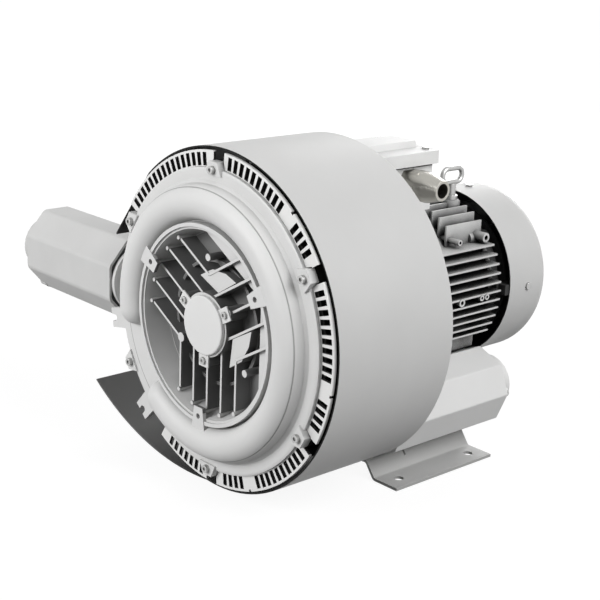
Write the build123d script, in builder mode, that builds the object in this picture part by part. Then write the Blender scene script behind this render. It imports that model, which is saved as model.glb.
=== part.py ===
from build123d import *
from math import cos, sin, tan, sqrt, radians, degrees, atan2
import os

os.makedirs("parts", exist_ok=True)

# Two-stage side-channel air blower. The shaft lies along Y, the front cover faces -Y and the
# fan end of the motor faces +Y. The origin is on the floor, midway between the four foot holes.

# Overall frame
axis_height = 228.0
front = -284.5
running_gap = 0.3
seat_gap = 0.05

# Cowl, the sheet drum round the casings
cowl_radius = 215.0
cowl_sheet = 2.0
cowl_length = 187.0
cowl_upper_angle = 132.0
cowl_lower_angle = 266.0

# Casings and the side channels
chamber_radius = 173.0
casing_wall = 8.0
flange_radius = 190.0
flange_thick = 10.0
channel_radius = 149.0
channel_half = 20.0
channel_depth = 27.0
land_inner = 119.0
casing_bolt_circle = 187.0
middle_width = 54.0
chamber_width = 42.0
rear_wall = 6.0
grille_ledge = 3.5
web_wall = 10.0

# Front cover
cover_plate = 12.0
bulge_half = 22.5
bulge_height = 35.0
bulge_centre = 149.5
strip_angle = 210.0
strip_half = 24.0
lip_outer = 125.5
lip_inner = 118.0
lip_front = 27.0
recess_floor = 8.0
floor_thick = 5.0
wall_outer = 116.5
floor_radius = 111.0
rib_top = 15.0
rib_thick = 3.0
rib_pitch = 27.0
lug_circle = 189.5
lug_front = 12.5
lug_reach = 199.0
cover_screw_radius = 3.0
tab_circle = 116.0
tab_hole = 3.5
notch_circle = 210.0
notch_radius = 4.5
notch_spread = 17.6
land_ring = 78.0
knob_radius = 2.6
pad_outline = [(37, 29), (75, 30), (62, 45), (40, 58), (14, 59)]
pad_top = 14.0
land_chord = 90.0
land_top = 9.0

# Hub of the front bearing
hub_radius = 40.0
hub_front = 19.0
cap_radius = 37.0
cap_front = 24.0
ear_circle = 45.0
ear_width = 18.0
ear_front = 21.0
ear_screw = 2.5

# Shaft and bearings: bore, outside diameter and width of each deep-groove bearing
front_bearing = (25.0, 52.0, 15.0)
drive_bearing = (30.0, 72.0, 19.0)
tail_bearing = (30.0, 62.0, 16.0)
front_bearing_at = 14.0
drive_bearing_at = -167.0
tail_bearing_at = -391.0
shaft_impeller = 28.0
shaft_motor = 38.0
shaft_tail = 22.0
shaft_end = 450.0

# Impellers
impeller_radius = 171.5
impeller_width = 40.0
impeller_inner = 122.0
blade_count = 30
blade_thick = 2.5
impeller_web = 10.0
impeller_hub = 30.0
hub_length = 24.0
blade_web = 4.0

# Motor
motor_front = 187.0
motor_rear = 400.0
barrel_outer = 90.0
barrel_inner = 82.0
fin_radius = 112.0
fin_thick = 2.6
side_fin_pitch = 12.0
top_fin_pitch = 13.5
stator_bore = 57.0
stator_length = 132.0
stator_start = 226.0
winding_length = 20.0
air_gap = 0.6
shield_thick = 12.0

# Fan and its cover
fan_cover_radius = 118.0
fan_cover_sheet = 1.5
fan_cover_front = 412.0
fan_cover_rear = 501.0
fan_cover_round = 26.0
fan_radius = 98.0
fan_blades = 7
fan_start = 424.0
fan_width = 26.0

# Terminal box
box_half = 52.0
box_front = 205.0
box_rear = 316.0
box_bottom = 112.0
box_top = 171.0
box_wall = 4.0
lid_over = 5.0
lid_height = 17.0
lid_top_plate = 3.5
gasket_thick = 3.0
gland_y = 268.0
gland_z = 152.0
gland_bore = 9.5
gland_reach = 60.0

# Silencers
silencer_across = 102.0
silencer_wall = 4.0
silencer_left_y = 62.5
silencer_left_z = -12.0
silencer_left_near = -252.0
silencer_left_length = 210.0
silencer_right_x = 83.5
silencer_right_z = -142.0
silencer_right_near = 198.0
silencer_right_length = 204.0
port_hub_radius = 37.0
port_hub_length = 24.0
port_radius = 29.0
duct_radius = 26.0
duct_wall = 4.5
duct_depth = 6.0
duct_overlap = 16.0
passage_radius = 9.0
tube_wall = 1.5
foam_gap = 12.0

# Feet
foot_hole_x = 115.5
foot_hole_pitch = 137.0
foot_hole_radius = 6.5
foot_sheet = 4.0
foot_outer = 137.0
foot_bend = 95.0
foot_top = 80.0
foot_rise = 22.0
foot_length = 186.0
foot_start = 190.0
foot_tab_length = 66.0
foot_tab_reach = 54.0
foot_bolt_radius = 4.0

# Derived places along the shaft, measured back from the cowl's front edge
joint_rear = chamber_width + middle_width
rear_face = joint_rear + chamber_width
rear_back = rear_face + channel_depth + rear_wall
casing_outer = chamber_radius + casing_wall
cowl_inner = cowl_radius - cowl_sheet
spin = Axis((0, 0, axis_height), (0, -1, 0))
lug_angles = [30 + 60 * k for k in range(6)]
third_angles = [30, 150, 270]


def behind(distance):
    """Y of a plane a distance behind the cowl's front edge."""
    return front + distance


def across(distance, angle=0):
    """Plane square to the shaft, seen from the front: local X points out at the angle."""
    c, s = cos(radians(angle)), sin(radians(angle))
    return Plane(origin=(0, behind(distance), axis_height), x_dir=(c, 0, s), z_dir=(0, -1, 0))


def polar(radius, angle):
    """Point in a plane square to the shaft."""
    return (radius * cos(radians(angle)), radius * sin(radians(angle)))


half_plane = Plane.XY.offset(axis_height)


def turn(points, mode=Mode.ADD):
    """Revolve a closed outline of (radius, distance back) points round the shaft."""
    with BuildSketch(half_plane) as section:
        with BuildLine():
            Polyline([(r, behind(d)) for r, d in points], close=True)
        make_face()
    revolve(section.sketch, axis=spin, mode=mode)


def ring(inner, outer, start, end, mode=Mode.ADD):
    """Plain ring or disc round the shaft between two distances back."""
    with BuildSketch(across(end)) as section:
        Circle(outer)
        if inner > 0:
            Circle(inner, mode=Mode.SUBTRACT)
    extrude(section.sketch, amount=end - start, mode=mode)


def pins(places, radius, start, end, mode=Mode.ADD):
    """Round pins or holes parallel to the shaft."""
    with BuildSketch(across(end)) as section:
        with Locations(*places):
            Circle(radius)
    extrude(section.sketch, amount=end - start, mode=mode)


def through(angle):
    """Plane through the shaft at an angle: local X runs outward and local Y runs back."""
    c, s = cos(radians(angle)), sin(radians(angle))
    return Plane(origin=(0, 0, axis_height), x_dir=(c, 0, s), z_dir=(-s, 0, c))


def half_round(centre, half, depth, level, whole):
    """Closed outline of a half-round section, or of its outer half, at a radius."""
    radius = (half**2 + depth**2) / (2 * depth)
    middle = behind(level - depth) + radius
    edge = atan2(behind(level) - middle, half)
    mid_angle = (edge - radians(90)) / 2
    mid_point = (centre + radius * cos(mid_angle), middle + radius * sin(mid_angle))
    inner = (centre - half, behind(level))
    outer = (centre + half, behind(level))
    crest = (centre, behind(level - depth))
    if whole:
        Line(inner, outer)
        ThreePointArc(outer, crest, inner)
    else:
        Line((centre, behind(level)), outer)
        ThreePointArc(outer, mid_point, crest)
        Line(crest, (centre, behind(level)))


def side_arc(centre, half, depth, level, first, last, mode=Mode.ADD):
    """Half-round bulge or groove run round the shaft between two angles, with domed ends."""
    with BuildSketch(through(first)) as section:
        with BuildLine():
            half_round(centre, half, depth, level, True)
        make_face()
    revolve(section.sketch, axis=spin, revolution_arc=last - first, mode=mode)
    for angle in (first, last):
        x, z = polar(centre, angle)
        with BuildSketch(through(angle)) as end_section:
            with BuildLine():
                half_round(centre, half, depth, level, False)
            make_face()
        end_axis = Axis((x, 0, axis_height + z), (0, 1, 0))
        revolve(end_section.sketch, axis=end_axis, mode=mode)


def plates(outline, angles, start, end, mode=Mode.ADD):
    """Flat plates round the shaft from one outline of (tangential, radial) points."""
    for angle in angles:
        with BuildSketch(across(end, angle - 90)) as section:
            with BuildLine():
                Polyline(outline, close=True)
            make_face()
        extrude(section.sketch, amount=end - start, mode=mode)


def save(part, name):
    """Name a finished piece and write it."""
    part.label = name
    export_step(part, "parts/" + name + ".step")


def cap_screws(places, shank, head, head_height, under, length):
    """Socket-head screws parallel to the shaft, heads in front of the plane they clamp."""
    pins(places, head, under - head_height, under - seat_gap)
    pins(places, shank, under - 2 * seat_gap, under + length)
    with BuildSketch(across(under - head_height)) as sockets:
        with Locations(*places):
            RegularPolygon(head * 0.5, 6)
    extrude(sockets.sketch, amount=-head_height * 0.5, mode=Mode.SUBTRACT)


def hex_bolts(places, shank, head_height, under, length):
    """Hexagon bolts parallel to the shaft, heads behind the plane they clamp."""
    with BuildSketch(across(under + seat_gap)) as heads:
        with Locations(*places):
            RegularPolygon(shank * 1.9, 6)
    extrude(heads.sketch, amount=-head_height)
    pins(places, shank, under - length, under + 2 * seat_gap)


def bearing_outer(bore, outside, width, start):
    """Outer ring of a shielded deep-groove bearing."""
    middle = (bore + outside) / 4
    race = (outside - bore) / 12
    turn([
        (outside / 2, start),
        (outside / 2, start + width),
        (middle - race * 0.6, start + width),
        (middle - race * 0.6, start + width - 1),
        (middle + race, start + width - 1),
        (middle + race, start + 1),
        (middle - race * 0.6, start + 1),
        (middle - race * 0.6, start),
    ])


def bearing_inner(bore, outside, width, start):
    """Inner ring of a shielded deep-groove bearing, with its row of balls in the cage."""
    middle = (bore + outside) / 4
    race = (outside - bore) / 12
    ring(bore / 2, middle - race, start, start + width)
    ball = race * 0.9
    ring(middle - race - 0.1, middle + ball * 0.6, start + width / 2 - ball, start + width / 2 + ball)


strip_start = strip_angle + strip_half
strip_end = strip_angle + 360 - strip_half
cover_lugs = [polar(lug_circle, a) for a in lug_angles]
casing_bolts = [polar(casing_bolt_circle, a + 15) for a in lug_angles]
motor_bolt_circle = 103.0
motor_bolts = [polar(motor_bolt_circle, 45 + 90 * k) for k in range(4)]
ear_places = [polar(ear_circle, a) for a in third_angles]
hub_bore = front_bearing[1] / 2

# Front cover: cast plate with the first side channel, the ribbed recess and the bearing hub
with BuildPart() as front_cover:
    turn([
        (flange_radius, 0),
        (flange_radius, -8),
        (flange_radius - 4, -10),
        (flange_radius - 14, -10),
        (flange_radius - 19, -cover_plate - 2),
        (lip_outer, -cover_plate - 2),
        (lip_outer, -lip_front),
        (lip_inner + 3, -lip_front),
        (lip_inner + 3, -lip_front + 3),
        (lip_inner, -lip_front + 3),
        (floor_radius, recess_floor),
        (hub_bore - 4, recess_floor),
        (hub_bore - 4, recess_floor + floor_thick),
        (wall_outer, recess_floor + floor_thick),
        (wall_outer, 0),
    ])
    side_arc(bulge_centre, bulge_half, bulge_height - cover_plate, -cover_plate, strip_start, strip_end)
    for base_angle in third_angles:
        for step in range(-2, 3):
            offset_y = step * rib_pitch
            inner_end = abs(offset_y) / tan(radians(60))
            if abs(offset_y) < hub_radius:
                inner_end = sqrt(hub_radius**2 - offset_y**2) - 2
            outer_end = sqrt((wall_outer - 1.5) ** 2 - offset_y**2)
            with BuildSketch(across(recess_floor + 1, base_angle)) as rib:
                with Locations(((inner_end + outer_end) / 2, offset_y)):
                    Rectangle(outer_end - inner_end, rib_thick)
            extrude(rib.sketch, amount=rib_top + recess_floor + 1)
            with BuildSketch(across(recess_floor + 1, base_angle)) as knob:
                with Locations((outer_end - knob_radius, offset_y)):
                    Circle(knob_radius)
            extrude(knob.sketch, amount=rib_top + recess_floor + 3)
    for side in (1, -1):
        with BuildSketch(across(recess_floor + 1, third_angles[0])) as pad:
            with BuildLine():
                Polyline([(along, side * aside) for along, aside in pad_outline], close=True)
            make_face()
        extrude(pad.sketch, amount=pad_top + recess_floor + 1)
        with BuildSketch(across(recess_floor + 1, third_angles[0] + 30 * side)) as land:
            Circle(wall_outer - 1.5)
            with Locations((land_chord - wall_outer, 0)):
                Rectangle(2 * wall_outer, 2 * wall_outer, mode=Mode.SUBTRACT)
        extrude(land.sketch, amount=land_top + recess_floor + 1)
    pins([polar(60, 210)], 6, -rib_top - 1, recess_floor + 1)
    pins([polar(84, 90), polar(84, 330)], 4.5, -rib_top - 2, recess_floor + 1)
    ring(land_ring - 3, land_ring + 1, -2, recess_floor + 1)
    ring(hub_bore - 4, hub_radius, -hub_front, recess_floor + 1)
    ring(0, hub_bore + seat_gap, -hub_front, recess_floor - 3, mode=Mode.SUBTRACT)
    pins(ear_places, ear_width / 2, -hub_front, recess_floor + 1)
    pins(ear_places, ear_screw + seat_gap, -hub_front, -hub_front + 14, mode=Mode.SUBTRACT)
    plates([(-15, 183), (15, 183), (8, lug_reach), (-8, lug_reach)], lug_angles, -lug_front, 0)
    plates([(-14, 180), (14, 180), (13, 216), (-13, 216)], [210 - notch_spread, 210 + notch_spread], -9, -1)
    plates([(-13, 137), (13, 137), (8, 104), (-8, 104)], third_angles, -lip_front - 1, -lip_front + 4)
    pins([polar(tab_circle, a) for a in third_angles], tab_hole, -lip_front - 1, -lip_front + 4, Mode.SUBTRACT)
    for notch_angle in (210 - notch_spread, 210 + notch_spread):
        slot = [(-notch_radius, notch_circle), (notch_radius, notch_circle)]
        slot += [(notch_radius, 220), (-notch_radius, 220)]
        plates(slot, [notch_angle], -9, -1, Mode.SUBTRACT)
        pins([polar(notch_circle, notch_angle)], notch_radius, -9, -1, Mode.SUBTRACT)
    side_arc(channel_radius, channel_half, channel_depth, 0, strip_start, strip_end, Mode.SUBTRACT)
    pins(cover_lugs, cover_screw_radius + seat_gap, -lug_front, 0, mode=Mode.SUBTRACT)
save(front_cover.part, "front_cover")

# Cap over the front bearing, held by three ears
with BuildPart() as hub_cap:
    ring(0, cap_radius, -cap_front, -hub_front)
    fillet(hub_cap.edges().filter_by(GeomType.CIRCLE).group_by(Axis.Y)[0], 2)
    plates([(-ear_width / 2, 34), (ear_width / 2, 34), (ear_width / 2, 53), (-ear_width / 2, 53)],
           third_angles, -ear_front, -hub_front)
    ring(hub_bore - 4, hub_bore, -hub_front, -front_bearing_at - seat_gap)
    pins(ear_places, ear_screw + seat_gap, -ear_front, -hub_front, mode=Mode.SUBTRACT)
save(hub_cap.part, "hub_cap")

with BuildPart() as hub_cap_screws:
    cap_screws(ear_places, ear_screw, 4.5, 3, -ear_front, 14)
save(hub_cap_screws.part, "hub_cap_screws")

with BuildPart() as cover_screws:
    cap_screws(cover_lugs, cover_screw_radius, 5, 5, -lug_front, 22)
save(cover_screws.part, "cover_screws")

# Near faces of the two silencers and their tie bolts, which screw into lugs on the casings
left_plane = Plane(origin=(silencer_left_near, behind(silencer_left_y), axis_height + silencer_left_z),
                   x_dir=(0, -1, 0), z_dir=(-1, 0, 0))
right_plane = Plane(origin=(silencer_right_x, behind(silencer_right_near), axis_height + silencer_right_z),
                    x_dir=(-1, 0, 0), z_dir=(0, 1, 0))
column_circle = silencer_across / 2 - 4
left_bolts = [polar(column_circle, a) for a in (112.5, 292.5)]
right_bolts = [polar(column_circle, a) for a in (0, 180)]
lug_radius = 7.0
lug_root = 11.0
bolt_grip = 12.0
bolt_radius = 3.0

# Middle casing: chamber of the first impeller, both inner side channels and the left port duct
with BuildPart() as middle_casing:
    turn([
        (flange_radius + grille_ledge, seat_gap),
        (flange_radius + grille_ledge, flange_thick),
        (casing_outer, flange_thick),
        (casing_outer, joint_rear - flange_thick),
        (flange_radius, joint_rear - flange_thick),
        (flange_radius, joint_rear),
        (land_inner, joint_rear),
        (land_inner, chamber_width + (middle_width + web_wall) / 2),
        (shaft_impeller / 2 + 9, chamber_width + (middle_width + web_wall) / 2),
        (shaft_impeller / 2 + 9, chamber_width + (middle_width - web_wall) / 2),
        (land_inner, chamber_width + (middle_width - web_wall) / 2),
        (land_inner, chamber_width),
        (chamber_radius, chamber_width),
        (chamber_radius, seat_gap),
    ])
    plates([(-12, 178), (12, 178), (8, lug_reach), (-8, lug_reach)], lug_angles, seat_gap, 14)
    left_face = Plane(origin=(-casing_outer + duct_depth, behind(silencer_left_y), axis_height + silencer_left_z),
                      x_dir=(0, 1, 0), z_dir=(-1, 0, 0))
    duct_length = duct_overlap - silencer_left_near - casing_outer + duct_depth
    with BuildSketch(left_face) as duct:
        Circle(duct_radius + duct_wall)
    extrude(duct.sketch, amount=duct_length)
    with BuildSketch(left_plane.offset(-seat_gap)) as bolt_lugs:
        with Locations(*left_bolts):
            Circle(lug_radius)
    extrude(bolt_lugs.sketch, amount=silencer_left_near + casing_outer - lug_root)
    with BuildSketch(left_plane) as bolt_threads:
        with Locations(*left_bolts):
            Circle(bolt_radius + seat_gap)
    extrude(bolt_threads.sketch, amount=-bolt_grip - 1, mode=Mode.SUBTRACT)
    with BuildSketch(left_face) as bore:
        Circle(duct_radius)
    extrude(bore.sketch, amount=duct_length, mode=Mode.SUBTRACT)
    ring(0, chamber_radius, 0, chamber_width, mode=Mode.SUBTRACT)
    passage_at = Plane(origin=(-casing_outer, behind(chamber_width + 10), left_face.origin.Z),
                       x_dir=(0, 1, 0), z_dir=(-1, 0, 0))
    with BuildSketch(passage_at) as passage:
        Circle(passage_radius)
    extrude(passage.sketch, amount=-26, mode=Mode.SUBTRACT)
    plates([(-9, 182 - 6), (9, 182 - 6), (6, 197), (-6, 197)], [a + 15 for a in lug_angles],
           joint_rear - flange_thick, joint_rear)
    pins(cover_lugs, cover_screw_radius, seat_gap, 14, mode=Mode.SUBTRACT)
    pins(casing_bolts, 3 + seat_gap, joint_rear - flange_thick, joint_rear, mode=Mode.SUBTRACT)
    front_level = chamber_width
    groove = channel_depth - 6
    turn([(channel_radius - channel_half, front_level), (channel_radius + channel_half, front_level),
          (channel_radius + channel_half - 5, front_level + groove * 0.8),
          (channel_radius, front_level + groove),
          (channel_radius - channel_half + 5, front_level + groove * 0.8)], mode=Mode.SUBTRACT)
    turn([(channel_radius - channel_half, joint_rear), (channel_radius + channel_half, joint_rear),
          (channel_radius + channel_half - 5, joint_rear - groove * 0.8),
          (channel_radius, joint_rear - groove),
          (channel_radius - channel_half + 5, joint_rear - groove * 0.8)], mode=Mode.SUBTRACT)
save(middle_casing.part, "middle_casing")

# Rear casing: chamber of the second impeller, last side channel, drive bearing and right duct
seal_bore = 26.0
drive_hub = 46.0
spigot_inner = 92.0
spigot_outer = 112.0
plate_front = chamber_width + joint_rear + 12
drive_start = -drive_bearing_at
foot_arm = 7.0
arm_top = foot_rise + foot_sheet / 2 + seat_gap
silencer_right_rel = (silencer_right_x, silencer_right_z)
right_bolt_places = [(silencer_right_x + side * column_circle, silencer_right_z) for side in (1, -1)]
arm_start = cowl_length + 2.0
arm_end = foot_start + foot_tab_length - 2.0
arm_bolt_at = [foot_start + 14.0, foot_start + 44.0]
support_angles = [105, 45, 345, 285]
support_length = 22.0
support_reach = sqrt((cowl_inner - seat_gap) ** 2 - 3**2)
arm_bolt_places = [(side * (foot_tab_reach + 9), behind(d)) for side in (1, -1) for d in arm_bolt_at]
with BuildPart() as rear_casing:
    turn([
        (chamber_radius, joint_rear + seat_gap),
        (flange_radius, joint_rear + seat_gap),
        (flange_radius, joint_rear + flange_thick),
        (casing_outer, joint_rear + flange_thick),
        (casing_outer, rear_back - 8),
        (casing_outer - 8, rear_back),
        (spigot_outer, rear_back),
        (spigot_outer, motor_front),
        (spigot_inner, motor_front),
        (spigot_inner, plate_front + web_wall),
        (drive_hub, plate_front + web_wall),
        (drive_hub, motor_front),
        (drive_bearing[1] / 2 + seat_gap, motor_front),
        (drive_bearing[1] / 2 + seat_gap, drive_start - seat_gap),
        (seal_bore, drive_start - seat_gap),
        (seal_bore, plate_front),
        (land_inner, plate_front),
        (land_inner, rear_face),
        (channel_radius - channel_half, rear_face),
        (channel_radius - channel_half + 5, rear_face + channel_depth * 0.8),
        (channel_radius, rear_face + channel_depth),
        (channel_radius + channel_half - 5, rear_face + channel_depth * 0.8),
        (channel_radius + channel_half, rear_face),
        (chamber_radius, rear_face),
    ])
    plates([(-9, 176), (9, 176), (6, 197), (-6, 197)], [a + 15 for a in lug_angles],
           joint_rear + seat_gap, joint_rear + flange_thick)
    plates([(-3, 178), (3, 178), (3, support_reach), (-3, support_reach)],
           support_angles, rear_face, rear_face + support_length)
    pins([silencer_right_rel], duct_radius + duct_wall, rear_back - 3, silencer_right_near + duct_overlap)
    pins([silencer_right_rel], duct_radius, rear_back, silencer_right_near + duct_overlap, Mode.SUBTRACT)
    right_angle = degrees(atan2(silencer_right_z, silencer_right_x))
    pins([polar(channel_radius, right_angle)], passage_radius, rear_face + 10, rear_back, Mode.SUBTRACT)
    pins(right_bolt_places, lug_radius, rear_back - 3, silencer_right_near - seat_gap)
    lug_angle = degrees(atan2(silencer_right_z, silencer_right_x + column_circle))
    plates([(-8, chamber_radius + 4), (8, chamber_radius + 4), (7, 198), (-7, 198)], [lug_angle],
           rear_back - 24, rear_back + 2)
    for side in (1, -1):
        arm_side = (foot_top - 1) if side == 1 else -foot_tab_reach
        arm_plane = Plane(origin=(arm_side, 0, 0), x_dir=(0, 1, 0), z_dir=(1, 0, 0))
        with BuildSketch(arm_plane) as arm:
            with BuildLine():
                Polyline([
                    (behind(rear_back - 20), axis_height - 160),
                    (behind(arm_start + 7), axis_height - 160),
                    (behind(arm_start + 7), arm_top + foot_arm),
                    (behind(arm_end), arm_top + foot_arm),
                    (behind(arm_end), arm_top),
                    (behind(arm_start), arm_top),
                    (behind(arm_start), arm_top + foot_arm + 4),
                    (behind(rear_back - 20), arm_top + foot_arm + 4),
                ], close=True)
            make_face()
        extrude(arm.sketch, amount=-(foot_top - 1 - foot_tab_reach))
    with BuildSketch(Plane.XY.offset(arm_top)) as arm_holes:
        with Locations(*arm_bolt_places):
            Circle(foot_bolt_radius + seat_gap)
    extrude(arm_holes.sketch, amount=foot_arm, mode=Mode.SUBTRACT)
    pins(casing_bolts, 3 + seat_gap, joint_rear, joint_rear + flange_thick, mode=Mode.SUBTRACT)
    pins(motor_bolts, 4 + seat_gap, motor_front - 20, motor_front, mode=Mode.SUBTRACT)
    pins(right_bolt_places, bolt_radius + seat_gap, rear_back - 4, silencer_right_near, Mode.SUBTRACT)
save(rear_casing.part, "rear_casing")

with BuildPart() as casing_screws:
    hex_bolts(casing_bolts, 3, 4, joint_rear + flange_thick, 2 * flange_thick - 1)
save(casing_screws.part, "casing_screws")

# Impellers: a blade ring with cells open to both sides, on a web and a keyed hub
shaft_gap = seat_gap
key_width = 8.0
key_height = 7.0
impeller_starts = {"impeller_front": 1.0, "impeller_rear": joint_rear + 1.0}
for impeller_name, ring_start in impeller_starts.items():
    ring_middle = ring_start + impeller_width / 2
    web_start = ring_middle - impeller_web / 2
    with BuildPart() as impeller:
        turn([
            (shaft_impeller / 2 + shaft_gap, web_start - 1),
            (impeller_hub, web_start - 1),
            (impeller_hub + 4, web_start + 1),
            (impeller_inner - 3, web_start + 1),
            (impeller_inner - 3, ring_start),
            (impeller_inner + 4, ring_start),
            (impeller_inner + 8, ring_middle - blade_web / 2),
            (impeller_radius, ring_middle - blade_web / 2),
            (impeller_radius, ring_middle + blade_web / 2),
            (impeller_inner + 8, ring_middle + blade_web / 2),
            (impeller_inner + 4, ring_start + impeller_width),
            (impeller_inner - 3, ring_start + impeller_width),
            (impeller_inner - 3, web_start + impeller_web - 1),
            (impeller_hub, web_start + impeller_web - 1),
            (impeller_hub, web_start - 1 + hub_length),
            (shaft_impeller / 2 + shaft_gap, web_start - 1 + hub_length),
        ])
        blade_middle = (impeller_inner + 2 + impeller_radius) / 2
        with BuildSketch(across(ring_start + impeller_width)) as blades:
            with PolarLocations(blade_middle, blade_count):
                Rectangle(impeller_radius - impeller_inner - 3, blade_thick)
        extrude(blades.sketch, amount=impeller_width)
        with BuildSketch(across(ring_start + impeller_width)) as keyway:
            with Locations((0, shaft_impeller / 2 + 1)):
                Rectangle(key_width + 2 * seat_gap, key_height + 2 * seat_gap)
        extrude(keyway.sketch, amount=impeller_width, mode=Mode.SUBTRACT)
    save(impeller.part, impeller_name)

# Shaft: front journal, impeller seat, drive bearing, rotor seat, tail bearing and fan end
tail_start = -tail_bearing_at
front_start = -front_bearing_at
nut_length = 11.0
first_hub = 1.0 + impeller_width / 2 - impeller_web / 2 - 1
second_hub = first_hub + joint_rear
hub_starts = [first_hub, second_hub]
with BuildPart() as shaft:
    turn([
        (0, front_start - 3),
        (front_bearing[0] / 2 - 1.5, front_start - 3),
        (front_bearing[0] / 2 - seat_gap, front_start - 1.5),
        (front_bearing[0] / 2 - seat_gap, front_start + front_bearing[2]),
        (shaft_impeller / 2, front_start + front_bearing[2]),
        (shaft_impeller / 2, drive_start - seat_gap),
        (drive_bearing[0] / 2 - seat_gap, drive_start - seat_gap),
        (drive_bearing[0] / 2 - seat_gap, drive_start + drive_bearing[2] + seat_gap),
        (shaft_motor / 2, drive_start + drive_bearing[2] + seat_gap),
        (shaft_motor / 2, tail_start - seat_gap),
        (tail_bearing[0] / 2 - seat_gap, tail_start - seat_gap),
        (tail_bearing[0] / 2 - seat_gap, tail_start + tail_bearing[2] + 2),
        (shaft_tail / 2 - seat_gap, tail_start + tail_bearing[2] + 2),
        (shaft_tail / 2 - seat_gap, shaft_end - 1.5),
        (shaft_tail / 2 - 1.5, shaft_end),
        (0, shaft_end),
    ])
    for hub_start in hub_starts:
        with BuildSketch(across(hub_start + hub_length - 2)) as seat:
            with Locations((0, shaft_impeller / 2 + 1)):
                Rectangle(key_width + 2 * seat_gap, key_height + 2 * seat_gap)
        extrude(seat.sketch, amount=hub_length - 4, mode=Mode.SUBTRACT)
save(shaft.part, "shaft")

with BuildPart() as impeller_keys:
    for hub_start in hub_starts:
        with BuildSketch(across(hub_start + hub_length - 2 - seat_gap)) as key:
            with Locations((0, shaft_impeller / 2 + 1)):
                Rectangle(key_width, key_height)
        extrude(key.sketch, amount=hub_length - 4 - 2 * seat_gap)
save(impeller_keys.part, "impeller_keys")

with BuildPart() as impeller_nut:
    with BuildSketch(across(first_hub - seat_gap)) as nut:
        RegularPolygon(18.5, 6)
        Circle(shaft_impeller / 2 + seat_gap, mode=Mode.SUBTRACT)
    extrude(nut.sketch, amount=nut_length)
save(impeller_nut.part, "impeller_nut")

with BuildPart() as stage_spacer:
    ring(shaft_impeller / 2 + seat_gap, 20, first_hub + hub_length + seat_gap, second_hub - seat_gap)
save(stage_spacer.part, "stage_spacer")

with BuildPart() as drive_spacer:
    ring(shaft_impeller / 2 + seat_gap, 18.5, second_hub + hub_length + seat_gap, drive_start - seat_gap)
save(drive_spacer.part, "drive_spacer")

with BuildPart() as stage_seal:
    middle_plate = chamber_width + middle_width / 2
    ring(20 + running_gap, shaft_impeller / 2 + 9 - seat_gap, middle_plate - 5, middle_plate + 5)
save(stage_seal.part, "stage_seal")

with BuildPart() as shaft_seal:
    ring(18.5 + running_gap, seal_bore - seat_gap, plate_front + 2, plate_front + 12)
save(shaft_seal.part, "shaft_seal")

bearings = {
    "front_bearing": (front_bearing, front_start),
    "drive_bearing": (drive_bearing, drive_start),
    "tail_bearing": (tail_bearing, tail_start),
}
for bearing_name, (size, start) in bearings.items():
    with BuildPart() as outer_race:
        bearing_outer(*size, start)
    save(outer_race.part, bearing_name + "_outer")
    with BuildPart() as inner_race:
        bearing_inner(*size, start)
    save(inner_race.part, bearing_name + "_inner")

# Electric motor: rotor, stator, windings, finned frame and tail shield
stator_end = stator_start + stator_length
with BuildPart() as rotor_core:
    ring(shaft_motor / 2 + seat_gap, stator_bore - air_gap, stator_start, stator_end)
    ring(30, 52, stator_start - 12, stator_end + 12)
save(rotor_core.part, "rotor_core")

with BuildPart() as stator_core:
    ring(stator_bore, barrel_inner - seat_gap, stator_start, stator_end)
save(stator_core.part, "stator_core")

with BuildPart() as windings:
    ring(stator_bore + 3, barrel_inner - 5, stator_start - winding_length, stator_start - seat_gap)
    ring(stator_bore + 3, barrel_inner - 5, stator_end + seat_gap, stator_end + winding_length)
save(windings.part, "windings")

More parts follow.
